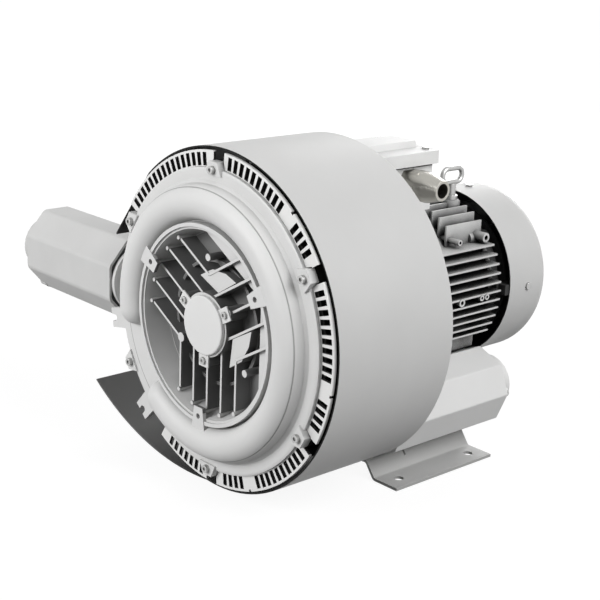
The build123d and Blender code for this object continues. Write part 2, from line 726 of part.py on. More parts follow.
shield_circle = 93.0
shield_bolts_at = [polar(shield_circle, 45 + 90 * k) for k in range(4)]
top_fins_start = 330.0
fin_start = motor_front + 8
neck_half = 42.0
eye_place = (25.0, 384.0)
side_bosses = [(389.0, 70.0, 6.5), (337.0, 70.0, 4.0), (371.0, -4.0, 4.0), (361.0, -4.0, 4.0),
               (321.0, -4.0, 5.5)]
with BuildPart() as motor_frame:
    ring(barrel_inner, barrel_outer, motor_front + seat_gap, motor_rear)
    ring(barrel_inner, spigot_outer, motor_front + seat_gap, motor_front + 10)
    ring(barrel_inner, barrel_outer + 6, motor_rear - 8, motor_rear)
    for side in (1, -1):
        for step in range(-5, 6):
            height = step * side_fin_pitch
            root = sqrt(barrel_outer**2 - height**2) - 2
            tip = sqrt(fin_radius**2 - height**2)
            with BuildSketch(across(motor_rear)) as fin:
                with Locations((side * (root + tip) / 2, height)):
                    Rectangle(tip - root, fin_thick)
            extrude(fin.sketch, amount=motor_rear - fin_start)
        for step in range(-5, 6):
            place = step * top_fin_pitch
            root = sqrt(barrel_outer**2 - place**2) - 2
            tip = sqrt(fin_radius**2 - place**2)
            with BuildSketch(across(motor_rear)) as fin:
                with Locations((place, side * (root + tip) / 2)):
                    Rectangle(fin_thick, tip - root)
            extrude(fin.sketch, amount=motor_rear - (top_fins_start if side == 1 else fin_start))
    pins(shield_bolts_at, 8, motor_rear - 24, motor_rear)
    with BuildSketch(Plane.XY.offset(axis_height + box_bottom)) as neck:
        with Locations((0, behind((box_front + box_rear) / 2))):
            Rectangle(2 * neck_half, 2 * neck_half)
    extrude(neck.sketch, amount=-(box_bottom - barrel_outer + 12))
    with BuildSketch(Plane.XY.offset(axis_height + fin_radius)) as eye_boss:
        with Locations((eye_place[0], behind(eye_place[1]))):
            Circle(11)
    extrude(eye_boss.sketch, amount=-(fin_radius - barrel_outer + 6))
    for boss_y, boss_z, boss_radius in side_bosses:
        boss_root = sqrt(barrel_outer**2 - boss_z**2) - 3
        boss_tip = sqrt(fin_radius**2 - boss_z**2) + 1
        boss_plane = Plane(origin=(boss_tip, behind(boss_y), axis_height + boss_z),
                           x_dir=(0, 1, 0), z_dir=(1, 0, 0))
        with BuildSketch(boss_plane) as boss:
            Circle(boss_radius)
        extrude(boss.sketch, amount=-(boss_tip - boss_root))
        with BuildSketch(boss_plane) as boss_hole:
            Circle(boss_radius / 2)
        extrude(boss_hole.sketch, amount=-12, mode=Mode.SUBTRACT)
    ring(0, barrel_inner, motor_front, motor_rear, mode=Mode.SUBTRACT)
    pins(motor_bolts, 4 + seat_gap, motor_front, motor_front + 10, mode=Mode.SUBTRACT)
    pins(motor_bolts, 9, motor_front + 10, motor_front + 26, mode=Mode.SUBTRACT)
    pins(shield_bolts_at, 3 + seat_gap, motor_rear - 20, motor_rear, mode=Mode.SUBTRACT)
save(motor_frame.part, "motor_frame")

with BuildPart() as motor_screws:
    hex_bolts(motor_bolts, 4, 5, motor_front + 10, 18)
save(motor_screws.part, "motor_screws")

# Tail shield: closes the motor, holds the tail bearing and carries the fan cover on four posts
post_angles = [0, 90, 180, 270]
cover_screw_at = 450.0
cover_inner = fan_cover_radius - fan_cover_sheet
shield_start = motor_rear + seat_gap
shield_end = shield_start + shield_thick
with BuildPart() as tail_shield:
    ring(barrel_inner - 10, barrel_outer + 6, shield_start, shield_end)
    ring(tail_bearing[1] / 2 + seat_gap, barrel_inner - 6, shield_start + 4, shield_end)
    ring(tail_bearing[1] / 2 + seat_gap, tail_bearing[1] / 2 + 8, tail_start - 1, shield_end)
    pins(shield_bolts_at, 8, shield_start, shield_end)
    post_reach = sqrt((cover_inner - seat_gap) ** 2 - 7**2)
    post = [(-7, 100), (7, 100), (7, post_reach), (-7, post_reach)]
    plates(post, post_angles, shield_end - 8, cover_screw_at + 8)
    foot = [(-7, 88), (7, 88), (7, 104), (-7, 104)]
    plates(foot, post_angles, shield_start, shield_end)
    pins(shield_bolts_at, 3 + seat_gap, shield_start, shield_end, mode=Mode.SUBTRACT)
    for angle in post_angles:
        x, z = polar(cover_inner, angle)
        hole = Plane(origin=(x, behind(cover_screw_at), axis_height + z),
                     x_dir=(0, 1, 0), z_dir=(cos(radians(angle)), 0, sin(radians(angle))))
        with BuildSketch(hole) as thread:
            Circle(2.5 + seat_gap)
        extrude(thread.sketch, amount=-11, mode=Mode.SUBTRACT)
save(tail_shield.part, "tail_shield")

with BuildPart() as shield_screws:
    hex_bolts(shield_bolts_at, 3, 4, shield_end, 28)
save(shield_screws.part, "shield_screws")

# Cooling fan: plain radial blades on a hub, so it works in either direction
with BuildPart() as cooling_fan:
    ring(shaft_tail / 2, 22, fan_start, fan_start + fan_width)
    ring(20, fan_radius, fan_start, fan_start + 2.5)
    with BuildSketch(across(fan_start + fan_width)) as vanes:
        with PolarLocations((20 + fan_radius) / 2, fan_blades):
            Rectangle(fan_radius - 20, 2.5)
    extrude(vanes.sketch, amount=fan_width - 1)
save(cooling_fan.part, "cooling_fan")

# Fan cover: spun sheet with a rounded rear edge and a slotted rear face
slot_rings = [40.0, 60.0, 80.0]
with BuildPart() as fan_cover:
    with BuildSketch(half_plane) as shell:
        with BuildLine():
            Polyline([
                (0, behind(fan_cover_rear)),
                (fan_cover_radius - fan_cover_round, behind(fan_cover_rear)),
            ])
            RadiusArc((fan_cover_radius - fan_cover_round, behind(fan_cover_rear)),
                      (fan_cover_radius, behind(fan_cover_rear - fan_cover_round)), fan_cover_round)
            Polyline([
                (fan_cover_radius, behind(fan_cover_rear - fan_cover_round)),
                (fan_cover_radius, behind(fan_cover_front)),
                (cover_inner, behind(fan_cover_front)),
                (cover_inner, behind(fan_cover_rear - fan_cover_round)),
            ])
            RadiusArc((cover_inner, behind(fan_cover_rear - fan_cover_round)),
                      (fan_cover_radius - fan_cover_round, behind(fan_cover_rear - fan_cover_sheet)),
                      -(fan_cover_round - fan_cover_sheet))
            Polyline([
                (fan_cover_radius - fan_cover_round, behind(fan_cover_rear - fan_cover_sheet)),
                (0, behind(fan_cover_rear - fan_cover_sheet)),
                (0, behind(fan_cover_rear)),
            ])
        make_face()
    revolve(shell.sketch, axis=spin)
    with BuildSketch(across(fan_cover_rear)) as slots:
        for slot_ring in slot_rings:
            with PolarLocations(slot_ring, round(slot_ring / 3.3)):
                SlotOverall(13, 6)
        Circle(6)
    extrude(slots.sketch, amount=fan_cover_sheet, mode=Mode.SUBTRACT)
    for angle in post_angles:
        x, z = polar(fan_cover_radius, angle)
        hole = Plane(origin=(x, behind(cover_screw_at), axis_height + z),
                     x_dir=(0, 1, 0), z_dir=(cos(radians(angle)), 0, sin(radians(angle))))
        with BuildSketch(hole) as clearance:
            Circle(2.5 + seat_gap)
        extrude(clearance.sketch, amount=-5, mode=Mode.SUBTRACT)
save(fan_cover.part, "fan_cover")

with BuildPart() as fan_cover_screws:
    for angle in post_angles:
        x, z = polar(fan_cover_radius + seat_gap, angle)
        seat = Plane(origin=(x, behind(cover_screw_at), axis_height + z),
                     x_dir=(0, 1, 0), z_dir=(cos(radians(angle)), 0, sin(radians(angle))))
        with BuildSketch(seat) as screw_head:
            Circle(5)
        extrude(screw_head.sketch, amount=2.5)
        with BuildSketch(seat) as screw_shank:
            Circle(2.5)
        extrude(screw_shank.sketch, amount=-10)
save(fan_cover_screws.part, "fan_cover_screws")

# Terminal box on top of the motor
box_length = box_rear - box_front
box_middle = behind((box_front + box_rear) / 2)
box_screws = [(-box_half + 9, -box_length / 2 + 9), (box_half - 9, -box_length / 2 + 9),
              (-box_half + 9, box_length / 2 - 9), (box_half - 9, box_length / 2 - 9)]


def level(height):
    """Horizontal plane over the middle of the terminal box, at a height above the shaft."""
    return Plane(origin=(0, box_middle, axis_height + height), z_dir=(0, 0, 1))


with BuildPart() as terminal_box:
    with BuildSketch(level(box_bottom + seat_gap)):
        RectangleRounded(2 * box_half, box_length, 6)
    extrude(amount=box_top - box_bottom - seat_gap)
    with BuildSketch(level(box_bottom + box_wall)):
        RectangleRounded(2 * (box_half - box_wall), box_length - 2 * box_wall, 4)
    extrude(amount=box_top - box_bottom, mode=Mode.SUBTRACT)
    with BuildSketch(level(box_bottom + box_wall)):
        with Locations(*box_screws):
            Circle(6)
    extrude(amount=box_top - box_bottom - box_wall)
    with BuildSketch(level(box_top)):
        with Locations(*box_screws):
            Circle(2.5 + seat_gap)
    extrude(amount=-14, mode=Mode.SUBTRACT)
    gland_face = Plane(origin=(box_half, behind(gland_y), axis_height + gland_z),
                       x_dir=(0, 1, 0), z_dir=(1, 0, 0))
    with BuildSketch(gland_face):
        Circle(14 + seat_gap)
    extrude(amount=-box_wall * 2, mode=Mode.SUBTRACT)
save(terminal_box.part, "terminal_box")

with BuildPart() as lid_gasket:
    with BuildSketch(level(box_top)):
        RectangleRounded(2 * box_half, box_length, 6)
        RectangleRounded(2 * (box_half - box_wall) - 4, box_length - 2 * box_wall - 4, 4, mode=Mode.SUBTRACT)
        with Locations(*box_screws):
            Circle(6)
            Circle(3, mode=Mode.SUBTRACT)
    extrude(amount=gasket_thick)
save(lid_gasket.part, "lid_gasket")

lid_bottom = box_top + gasket_thick
raised_half = 26.0
with BuildPart() as terminal_lid:
    with BuildSketch(level(lid_bottom)):
        RectangleRounded(2 * (box_half + lid_over + 2), box_length + 2 * lid_over, 7)
    extrude(amount=lid_height, taper=3)
    with BuildSketch(level(lid_bottom + lid_height - 1)):
        RectangleRounded(2 * raised_half, box_length - 6, 5)
    extrude(amount=9, taper=20)
    with BuildSketch(level(lid_bottom)):
        RectangleRounded(2 * (box_half - box_wall - 2), box_length - 2 * box_wall - 4, 4)
    extrude(amount=lid_height - lid_top_plate, mode=Mode.SUBTRACT)
    with BuildSketch(level(lid_bottom)):
        with Locations(*box_screws):
            Circle(6)
    extrude(amount=lid_height - 1)
    with BuildSketch(level(lid_bottom)):
        with Locations(*box_screws):
            Circle(2.5 + seat_gap)
    extrude(amount=lid_height + 2, mode=Mode.SUBTRACT)
save(terminal_lid.part, "terminal_lid")

lid_screw_top = lid_bottom + lid_height + seat_gap
with BuildPart() as lid_screws:
    with BuildSketch(level(lid_screw_top)):
        with Locations(*box_screws):
            Circle(5)
    extrude(amount=3)
    with BuildSketch(level(lid_screw_top)):
        with Locations(*box_screws):
            Circle(2.5)
    extrude(amount=-(lid_height + gasket_thick + 12))
save(lid_screws.part, "lid_screws")

with BuildPart() as terminal_block:
    with BuildSketch(level(box_bottom + box_wall + seat_gap)):
        Rectangle(54, 42)
    extrude(amount=14)
    with BuildSketch(level(box_bottom + box_wall + 14)):
        with GridLocations(18, 22, 3, 2):
            Circle(3)
    extrude(amount=16)
save(terminal_block.part, "terminal_block")

# Cable gland: hexagon body screwed into the box wall and a domed nut with an open end
gland_start = box_half + seat_gap


def gland_plane(distance):
    """Plane square to the gland's axis at a distance out from the box wall."""
    return Plane(origin=(gland_start + distance, behind(gland_y), axis_height + gland_z),
                 x_dir=(0, 1, 0), z_dir=(1, 0, 0))


with BuildPart() as gland_body:
    with BuildSketch(gland_plane(0)):
        RegularPolygon(20, 6)
    extrude(amount=11)
    with BuildSketch(gland_plane(0)):
        Circle(14)
    extrude(amount=-box_wall - 6)
    with BuildSketch(gland_plane(11)):
        Circle(15)
    extrude(amount=18)
    with BuildSketch(gland_plane(29)):
        Circle(gland_bore + 1)
    extrude(amount=-60, mode=Mode.SUBTRACT)
save(gland_body.part, "gland_body")

with BuildPart() as gland_nut:
    with BuildSketch(gland_plane(11 + seat_gap)):
        Circle(19.5)
    extrude(amount=26)
    with BuildSketch(gland_plane(12 + seat_gap)):
        RegularPolygon(21, 6)
    extrude(amount=14)
    with BuildSketch(gland_plane(37 + seat_gap)):
        Circle(19.5)
    with BuildSketch(gland_plane(gland_reach)):
        Circle(13)
    loft()
    with BuildSketch(gland_plane(11 + seat_gap)):
        Circle(15 + seat_gap)
    extrude(amount=18 + 2 * seat_gap, mode=Mode.SUBTRACT)
    with BuildSketch(gland_plane(11)):
        Circle(gland_bore)
    extrude(amount=gland_reach, mode=Mode.SUBTRACT)
save(gland_nut.part, "gland_nut")

# Forged lifting eye screwed into the motor frame
with BuildPart() as lifting_eye:
    eye_floor = Plane(origin=(eye_place[0], behind(eye_place[1]), axis_height + fin_radius + seat_gap),
                      z_dir=(0, 0, 1))
    with BuildSketch(eye_floor):
        Circle(9)
    extrude(amount=6)
    with BuildSketch(eye_floor):
        Circle(6)
    extrude(amount=22)
    loop_y = behind(eye_place[1])
    loop_z = axis_height + fin_radius + 33
    loop_half = 10.0
    loop_turn = 9.5
    with BuildLine() as loop:
        corners = [(eye_place[0], loop_y + a, loop_z + b) for a, b in (
            (-loop_half, loop_turn), (loop_half, loop_turn), (loop_half + loop_turn, 0),
            (loop_half, -loop_turn), (-loop_half, -loop_turn), (-loop_half - loop_turn, 0))]
        Line(corners[0], corners[1])
        ThreePointArc(corners[1], corners[2], corners[3])
        Line(corners[3], corners[4])
        ThreePointArc(corners[4], corners[5], corners[0])
    with BuildSketch(Plane(origin=corners[0], z_dir=(0, 1, 0))):
        Circle(3.5)
    sweep(path=loop.line)
save(lifting_eye.part, "lifting_eye")

# Silencers: octagon shell with a threaded port at the far end, foam lining and perforated tube
silencers = {
    "silencer_left": (left_plane, silencer_left_length, 22.5, left_bolts),
    "silencer_right": (right_plane, silencer_right_length, 0.0, right_bolts),
}
tube_outer = duct_radius + duct_wall + running_gap + tube_wall
for silencer_name, (near_plane, length, corner_angle, bolt_places) in silencers.items():
    with BuildPart() as silencer_body:
        with BuildSketch(near_plane):
            RegularPolygon(silencer_across / 2, 8, major_radius=False, rotation=corner_angle)
        extrude(amount=length)
        along = Axis(near_plane.origin, near_plane.z_dir)
        fillet(silencer_body.edges().filter_by(along), 4)
        fillet(silencer_body.faces().sort_by(along)[-1].edges(), 3)
        with BuildSketch(near_plane):
            RegularPolygon(silencer_across / 2 - silencer_wall, 8, major_radius=False, rotation=corner_angle)
        extrude(amount=length - silencer_wall, mode=Mode.SUBTRACT)
        with BuildSketch(near_plane):
            with Locations(*bolt_places):
                Circle(6)
        extrude(amount=length - 1)
        with BuildSketch(near_plane.offset(length - 1)):
            Circle(port_hub_radius)
        extrude(amount=port_hub_length + 1)
        with BuildSketch(near_plane.offset(length - silencer_wall - 1)):
            Circle(port_radius)
        extrude(amount=port_hub_length + silencer_wall + 2, mode=Mode.SUBTRACT)
        with BuildSketch(near_plane):
            with Locations(*bolt_places):
                Circle(bolt_radius + seat_gap)
        extrude(amount=length, mode=Mode.SUBTRACT)
    save(silencer_body.part, silencer_name)
    with BuildPart() as foam:
        with BuildSketch(near_plane.offset(foam_gap)):
            inside = silencer_across / 2 - silencer_wall - running_gap
            RegularPolygon(inside, 8, major_radius=False, rotation=corner_angle)
            Circle(tube_outer + running_gap, mode=Mode.SUBTRACT)
            with Locations(*bolt_places):
                Circle(6 + running_gap, mode=Mode.SUBTRACT)
        extrude(amount=length - silencer_wall - foam_gap - running_gap)
    save(foam.part, silencer_name + "_foam")
    with BuildPart() as tube:
        with BuildSketch(near_plane.offset(2)):
            Circle(tube_outer)
            Circle(tube_outer - tube_wall, mode=Mode.SUBTRACT)
        extrude(amount=length - silencer_wall - 2 - running_gap)
    save(tube.part, silencer_name + "_tube")
    with BuildPart() as silencer_bolts:
        with BuildSketch(near_plane.offset(length + seat_gap)):
            with Locations(*bolt_places):
                Circle(6)
        extrude(amount=5)
        fillet(silencer_bolts.faces().sort_by(along)[-2:].edges(), 2.5)
        with BuildSketch(near_plane.offset(length + 1)):
            with Locations(*bolt_places):
                Circle(bolt_radius)
        extrude(amount=-(length + 1 + bolt_grip))
    save(silencer_bolts.part, silencer_name + "_bolts")

# Cowl: one bent sheet, round over the top and right side, open at the left for the port duct
upper_start = (-215.0, 66.0)
lower_end = (-264.0, -152.0)
lower_middle = (-150.0, -204.0)
middle_line = cowl_radius - cowl_sheet / 2
with BuildPart() as drum_cowl:
    with BuildSketch(across(0)):
        with BuildLine():
            top_left = polar(middle_line, cowl_upper_angle)
            bottom = polar(middle_line, cowl_lower_angle)
            Line(upper_start, top_left)
            ThreePointArc(top_left, polar(middle_line, 20), bottom)
            ThreePointArc(bottom, lower_middle, lower_end)
        trace(line_width=cowl_sheet)
    extrude(amount=-cowl_length)
save(drum_cowl.part, "drum_cowl")

# Outlet grille: six comb segments between the cover flange and the cowl
grille_inner = flange_radius + running_gap
grille_outer = 210.4
grille_front = -4.0
slot_pitch = 3.1
slot_width = 6.9
slot_inner = 191.4
slot_outer = 207.4
segment_span = 54.5
grille_gap = 3.0
short_span = 27.5
joint_slots = [10, 11]
joint_width = 4.0
joint_depth = 2.5
with BuildPart() as outlet_grille:
    for lug_angle in lug_angles:
        if lug_angle == 150:
            continue
        first = lug_angle + 60 - grille_gap
        span = short_span if lug_angle == 210 else segment_span
        joint = lug_angle not in (90, 210)
        slot_count = int((span - 3) / slot_pitch)
        slots_here = [k for k in range(slot_count) if not joint or k not in joint_slots]
        with BuildSketch(across(0)) as comb:
            with BuildLine():
                last = first - span
                Line(polar(grille_inner, first), polar(grille_outer, first))
                ThreePointArc(polar(grille_outer, first), polar(grille_outer, (first + last) / 2),
                              polar(grille_outer, last))
                Line(polar(grille_outer, last), polar(grille_inner, last))
                ThreePointArc(polar(grille_inner, last), polar(grille_inner, (first + last) / 2),
                              polar(grille_inner, first))
            make_face()
            for k in slots_here:
                angle = first - slot_pitch * (k + 1)
                x, z = polar((slot_inner + slot_outer) / 2, angle)
                with Locations(Location((x, z, 0), (0, 0, angle))):
                    Rectangle(slot_outer - slot_inner, slot_width, mode=Mode.SUBTRACT)
            if joint:
                angle = first - slot_pitch * (joint_slots[1] + 0.7)
                x, z = polar(grille_outer, angle)
                with Locations(Location((x, z, 0), (0, 0, angle))):
                    Rectangle(2 * joint_depth, joint_width, mode=Mode.SUBTRACT)
        extrude(comb.sketch, amount=-grille_front)
    relief = [(-17, 170), (17, 170), (10, lug_reach + 0.6), (-10, lug_reach + 0.6)]
    plates(relief, lug_angles, grille_front - 1, 1, Mode.SUBTRACT)
save(outlet_grille.part, "outlet_grille")

# Feet: bent sheet brackets with two floor holes each and a tab under the rear casing's arm
tab_slit = 3.0
curl = 8.0
for foot_name, side in {"foot_right": 1, "foot_left": -1}.items():
    front_view = Plane(origin=(0, behind(foot_start), 0), x_dir=(1, 0, 0), z_dir=(0, -1, 0))
    level_mid = foot_sheet / 2
    with BuildPart() as foot_part:
        outline = [
            (side * foot_outer, level_mid),
            (side * foot_bend, level_mid),
            (side * foot_top, foot_rise),
            (side * (foot_top - curl), foot_rise),
        ]
        with BuildSketch(front_view):
            with BuildLine():
                FilletPolyline(*outline, radius=6)
            trace(line_width=foot_sheet)
        extrude(amount=-foot_length)
        with BuildSketch(front_view):
            with Locations((side * (foot_top - curl + foot_tab_reach) / 2, foot_rise)):
                Rectangle(foot_top - curl - foot_tab_reach + 1, foot_sheet)
        extrude(amount=-foot_tab_length)
        with BuildSketch(Plane.XY.offset(foot_rise + foot_sheet)):
            with Locations((side * (foot_top - 2), behind(foot_start + foot_tab_length + tab_slit / 2))):
                Rectangle(curl * 2 + 4, tab_slit)
        extrude(amount=-10, mode=Mode.SUBTRACT)
        with BuildSketch(Plane.XY.offset(foot_sheet)):
            with Locations((side * foot_hole_x, -foot_hole_pitch / 2), (side * foot_hole_x, foot_hole_pitch / 2)):
                Circle(foot_hole_radius)
        extrude(amount=-foot_sheet, mode=Mode.SUBTRACT)
        with BuildSketch(Plane.XY.offset(foot_rise + foot_sheet)):
            with Locations(*[(side * (foot_tab_reach + 9), behind(d)) for d in arm_bolt_at]):
                Circle(foot_bolt_radius + seat_gap)
        extrude(amount=-foot_sheet * 2, mode=Mode.SUBTRACT)
    save(foot_part.part, foot_name)

with BuildPart() as foot_bolts:
    with BuildSketch(Plane.XY.offset(foot_rise - foot_sheet / 2 - seat_gap)):
        with Locations(*arm_bolt_places):
            RegularPolygon(7.5, 6)
    extrude(amount=-5)
    with BuildSketch(Plane.XY.offset(foot_rise - foot_sheet / 2 - 1)):
        with Locations(*arm_bolt_places):
            Circle(foot_bolt_radius)
    extrude(amount=foot_sheet + 1 + foot_arm - 1)
save(foot_bolts.part, "foot_bolts")
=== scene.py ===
import bpy
import bmesh
from math import radians, sin, cos, pi
from mathutils import Vector, Matrix, Euler


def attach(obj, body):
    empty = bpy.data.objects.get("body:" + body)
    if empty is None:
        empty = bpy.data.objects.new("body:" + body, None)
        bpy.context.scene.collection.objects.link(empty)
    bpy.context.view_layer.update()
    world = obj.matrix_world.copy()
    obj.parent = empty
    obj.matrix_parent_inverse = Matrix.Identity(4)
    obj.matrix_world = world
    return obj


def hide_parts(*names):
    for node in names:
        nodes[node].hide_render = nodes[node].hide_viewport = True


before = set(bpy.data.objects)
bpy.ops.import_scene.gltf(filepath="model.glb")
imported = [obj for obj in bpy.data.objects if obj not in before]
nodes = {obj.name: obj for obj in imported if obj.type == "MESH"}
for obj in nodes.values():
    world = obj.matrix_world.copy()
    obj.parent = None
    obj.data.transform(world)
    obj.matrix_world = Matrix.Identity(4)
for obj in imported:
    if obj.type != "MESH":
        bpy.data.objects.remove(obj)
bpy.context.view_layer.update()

# Viewpoint: a long lens from the front right, a little above the drum, with a slight roll.
# Directions are given as a walk round the object, then a height above the horizon.
view_azimuth = radians(47.32)
view_elevation = radians(16.65)
view_roll = radians(2.22)
view_place = Vector((1.21957, -1.27419, 0.72889))
view_lens = 81.08

back = Vector((
    sin(view_azimuth) * cos(view_elevation),
    -cos(view_azimuth) * cos(view_elevation),
    sin(view_elevation),
))
camera_data = bpy.data.cameras.new("camera")
camera_data.lens = view_lens
camera_data.sensor_width = 36.0
camera = bpy.data.objects.new("camera", camera_data)
bpy.context.scene.collection.objects.link(camera)
camera.rotation_mode = "QUATERNION"
camera.location = view_place
level_view = (-back).to_track_quat("-Z", "Y")
camera.rotation_quaternion = level_view @ Euler((0, 0, view_roll)).to_quaternion()
bpy.context.scene.camera = camera
bpy.context.scene.view_settings.view_transform = "Standard"

# Studio: a pale floor that keeps a soft shadow, a white room and three large soft lamps.
# The floor and the room show white to the camera, in gloss and through glass only.
room = bpy.data.worlds.new("room")
bpy.context.scene.world = room
room.use_nodes = True
room_nodes = room.node_tree.nodes
room_links = room.node_tree.links
room_nodes.clear()
room_out = room_nodes.new("ShaderNodeOutputWorld")
room_path = room_nodes.new("ShaderNodeLightPath")
room_soft = room_nodes.new("ShaderNodeBackground")
room_soft.inputs["Strength"].default_value = 1.0
room_white = room_nodes.new("ShaderNodeBackground")
room_white.inputs["Color"].default_value = (1, 1, 1, 1)
room_white.inputs["Strength"].default_value = 1.0
room_mix = room_nodes.new("ShaderNodeMixShader")


def shows_white(tree, path):
    """Rays that see the white backdrop: from the camera, from gloss and through glass."""
    seen = tree.nodes.new("ShaderNodeMath")
    seen.use_clamp = True
    tree.links.new(path.outputs["Is Camera Ray"], seen.inputs[0])
    tree.links.new(path.outputs["Is Glossy Ray"], seen.inputs[1])
    through = tree.nodes.new("ShaderNodeMath")
    through.use_clamp = True
    tree.links.new(seen.outputs["Value"], through.inputs[0])
    tree.links.new(path.outputs["Is Transmission Ray"], through.inputs[1])
    return through.outputs["Value"]


room_links.new(shows_white(room.node_tree, room_path), room_mix.inputs["Fac"])
room_links.new(room_soft.outputs["Background"], room_mix.inputs[1])
room_links.new(room_white.outputs["Background"], room_mix.inputs[2])
room_links.new(room_mix.outputs["Shader"], room_out.inputs["Surface"])
room_where = room_nodes.new("ShaderNodeTexCoord")
room_split = room_nodes.new("ShaderNodeSeparateXYZ")
room_fade = room_nodes.new("ShaderNodeMapRange")
room_tone = room_nodes.new("ShaderNodeValToRGB")
room_tone.color_ramp.elements[0].color = (0.4, 0.4, 0.4, 1)
room_tone.color_ramp.elements[1].color = (0.12, 0.12, 0.12, 1)
room_fade.inputs["From Min"].default_value = 0.0
room_fade.inputs["From Max"].default_value = 0.6
room_links.new(room_where.outputs["Generated"], room_split.inputs["Vector"])
room_links.new(room_split.outputs["Z"], room_fade.inputs["Value"])
room_links.new(room_fade.outputs["Result"], room_tone.inputs["Fac"])
room_links.new(room_tone.outputs["Color"], room_soft.inputs["Color"])

floor_half = 40.0
floor_drop = 0.0005
floor_mesh = bmesh.new()
bmesh.ops.create_grid(floor_mesh, x_segments=1, y_segments=1, size=floor_half)
floor_data = bpy.data.meshes.new("floor")
floor_mesh.to_mesh(floor_data)
floor_mesh.free()
floor = bpy.data.objects.new("floor", floor_data)
floor.location.z = -floor_drop
bpy.context.scene.collection.objects.link(floor)
floor_paint = bpy.data.materials.new("floor_paint")
floor_paint.use_nodes = True
floor_tree = floor_paint.node_tree
floor_shader = floor_tree.nodes["Principled BSDF"]
floor_shader.inputs["Base Color"].default_value = (0.14, 0.14, 0.14, 1)
floor_shader.inputs["Roughness"].default_value = 0.9
floor_shader.inputs["Specular IOR Level"].default_value = 0.0
floor_shader.inputs["Emission Color"].default_value = (1, 1, 1, 1)

# The floor's white rises a little with the distance, so that no horizon shows.
floor_path = floor_tree.nodes.new("ShaderNodeLightPath")
floor_where = floor_tree.nodes.new("ShaderNodeTexCoord")
floor_away = floor_tree.nodes.new("ShaderNodeVectorMath")
floor_away.operation = "LENGTH"
floor_rise = floor_tree.nodes.new("ShaderNodeMapRange")
floor_rise.inputs["From Min"].default_value = 1.0
floor_rise.inputs["From Max"].default_value = 4.0
floor_rise.inputs["To Min"].default_value = 0.9
floor_rise.inputs["To Max"].default_value = 1.0
floor_glow = floor_tree.nodes.new("ShaderNodeMath")
floor_glow.operation = "MULTIPLY"
floor_tree.links.new(floor_where.outputs["Object"], floor_away.inputs[0])
floor_tree.links.new(floor_away.outputs["Value"], floor_rise.inputs["Value"])
floor_tree.links.new(shows_white(floor_tree, floor_path), floor_glow.inputs[0])
floor_tree.links.new(floor_rise.outputs["Result"], floor_glow.inputs[1])
floor_tree.links.new(floor_glow.outputs["Value"], floor_shader.inputs["Emission Strength"])
floor_data.materials.append(floor_paint)


def lamp(name, place, aim, size, power):
    """One soft square lamp that looks at a point."""
    data = bpy.data.lights.new(name, "AREA")
    data.shape = "SQUARE"
    data.size = size
    data.energy = power
    light = bpy.data.objects.new(name, data)
    light.location = place
    light.rotation_euler = (Vector(aim) - Vector(place)).to_track_quat("-Z", "Y").to_euler()
    bpy.context.scene.collection.objects.link(light)


drum_middle = (0.0, -0.15, 0.22)
lamp("key", (-0.7, -2.7, 1.2), drum_middle, 1.4, 60)
lamp("side", (2.05, 0.35, 1.85), drum_middle, 1.5, 53)
lamp("back", (-1.4, 2.6, 1.3), drum_middle, 1.6, 55)

# Casings: the middle ring with the left duct, and the rear housing with the foot arms, both
# sand-cast aluminium bolted face to face round the impellers and sprayed silver. Down in the gap
# under the cowl and behind the grille their skin is painted near black as shade.
silver = (0.7, 0.7, 0.695)
silver_cloud = (0.77, 0.77, 0.765)
silver_edge = (0.88, 0.88, 0.87)
silver_dust_and_shade = (0.12, 0.12, 0.115)
# Painted shade: near black for the casings' skin in the gap under the cowl.
gap_shade_black = (0.008, 0.008, 0.008)
shaft_height = 0.228
drum_front = -0.2845
gap_radius = 0.2125
gap_depth = 0.13
gap_left = -0.135


def new_group(name, inputs, outputs):
    """Empty node group with float, colour or vector sockets."""
    kinds = {"f": "NodeSocketFloat", "c": "NodeSocketColor", "v": "NodeSocketVector"}
    group = bpy.data.node_groups.new(name, "ShaderNodeTree")
    for socket, kind in inputs:
        group.interface.new_socket(name=socket, in_out="INPUT", socket_type=kinds[kind])
    for socket, kind in outputs:
        group.interface.new_socket(name=socket, in_out="OUTPUT", socket_type=kinds[kind])
    return group, group.nodes.new("NodeGroupInput"), group.nodes.new("NodeGroupOutput")


def math_node(tree, operation, first, second, clamp=False):
    """Math node fed by sockets or plain numbers."""
    node = tree.nodes.new("ShaderNodeMath")
    node.operation = operation
    node.use_clamp = clamp
    for slot, value in enumerate((first, second)):
        if isinstance(value, (int, float)):
            node.inputs[slot].default_value = value
        else:
            tree.links.new(value, node.inputs[slot])
    return node.outputs["Value"]


# Edge wear: where a rounded normal leaves the true one, paint is thin and bright.
wear_gain = 5.0
wear_group, wear_in, wear_out = new_group(
    "edge_wear",
    [("Radius", "f"), ("Amount", "f"), ("Patch Scale", "f")],
    [("Mask", "f")],
)
wear_bevel = wear_group.nodes.new("ShaderNodeBevel")
wear_bevel.samples = 4
wear_geometry = wear_group.nodes.new("ShaderNodeNewGeometry")
wear_dot = wear_group.nodes.new("ShaderNodeVectorMath")
wear_dot.operation = "DOT_PRODUCT"
wear_where = wear_group.nodes.new("ShaderNodeTexCoord")
wear_noise = wear_group.nodes.new("ShaderNodeTexNoise")
wear_noise.inputs["Detail"].default_value = 4.0
wear_group.links.new(wear_in.outputs["Radius"], wear_bevel.inputs["Radius"])
wear_group.links.new(wear_bevel.outputs["Normal"], wear_dot.inputs[0])
wear_group.links.new(wear_geometry.outputs["Normal"], wear_dot.inputs[1])
wear_group.links.new(wear_where.outputs["Object"], wear_noise.inputs["Vector"])
wear_group.links.new(wear_in.outputs["Patch Scale"], wear_noise.inputs["Scale"])
wear_turn = math_node(wear_group, "SUBTRACT", 1.0, wear_dot.outputs["Value"], True)
wear_line = math_node(wear_group, "MULTIPLY", wear_turn, wear_gain, True)
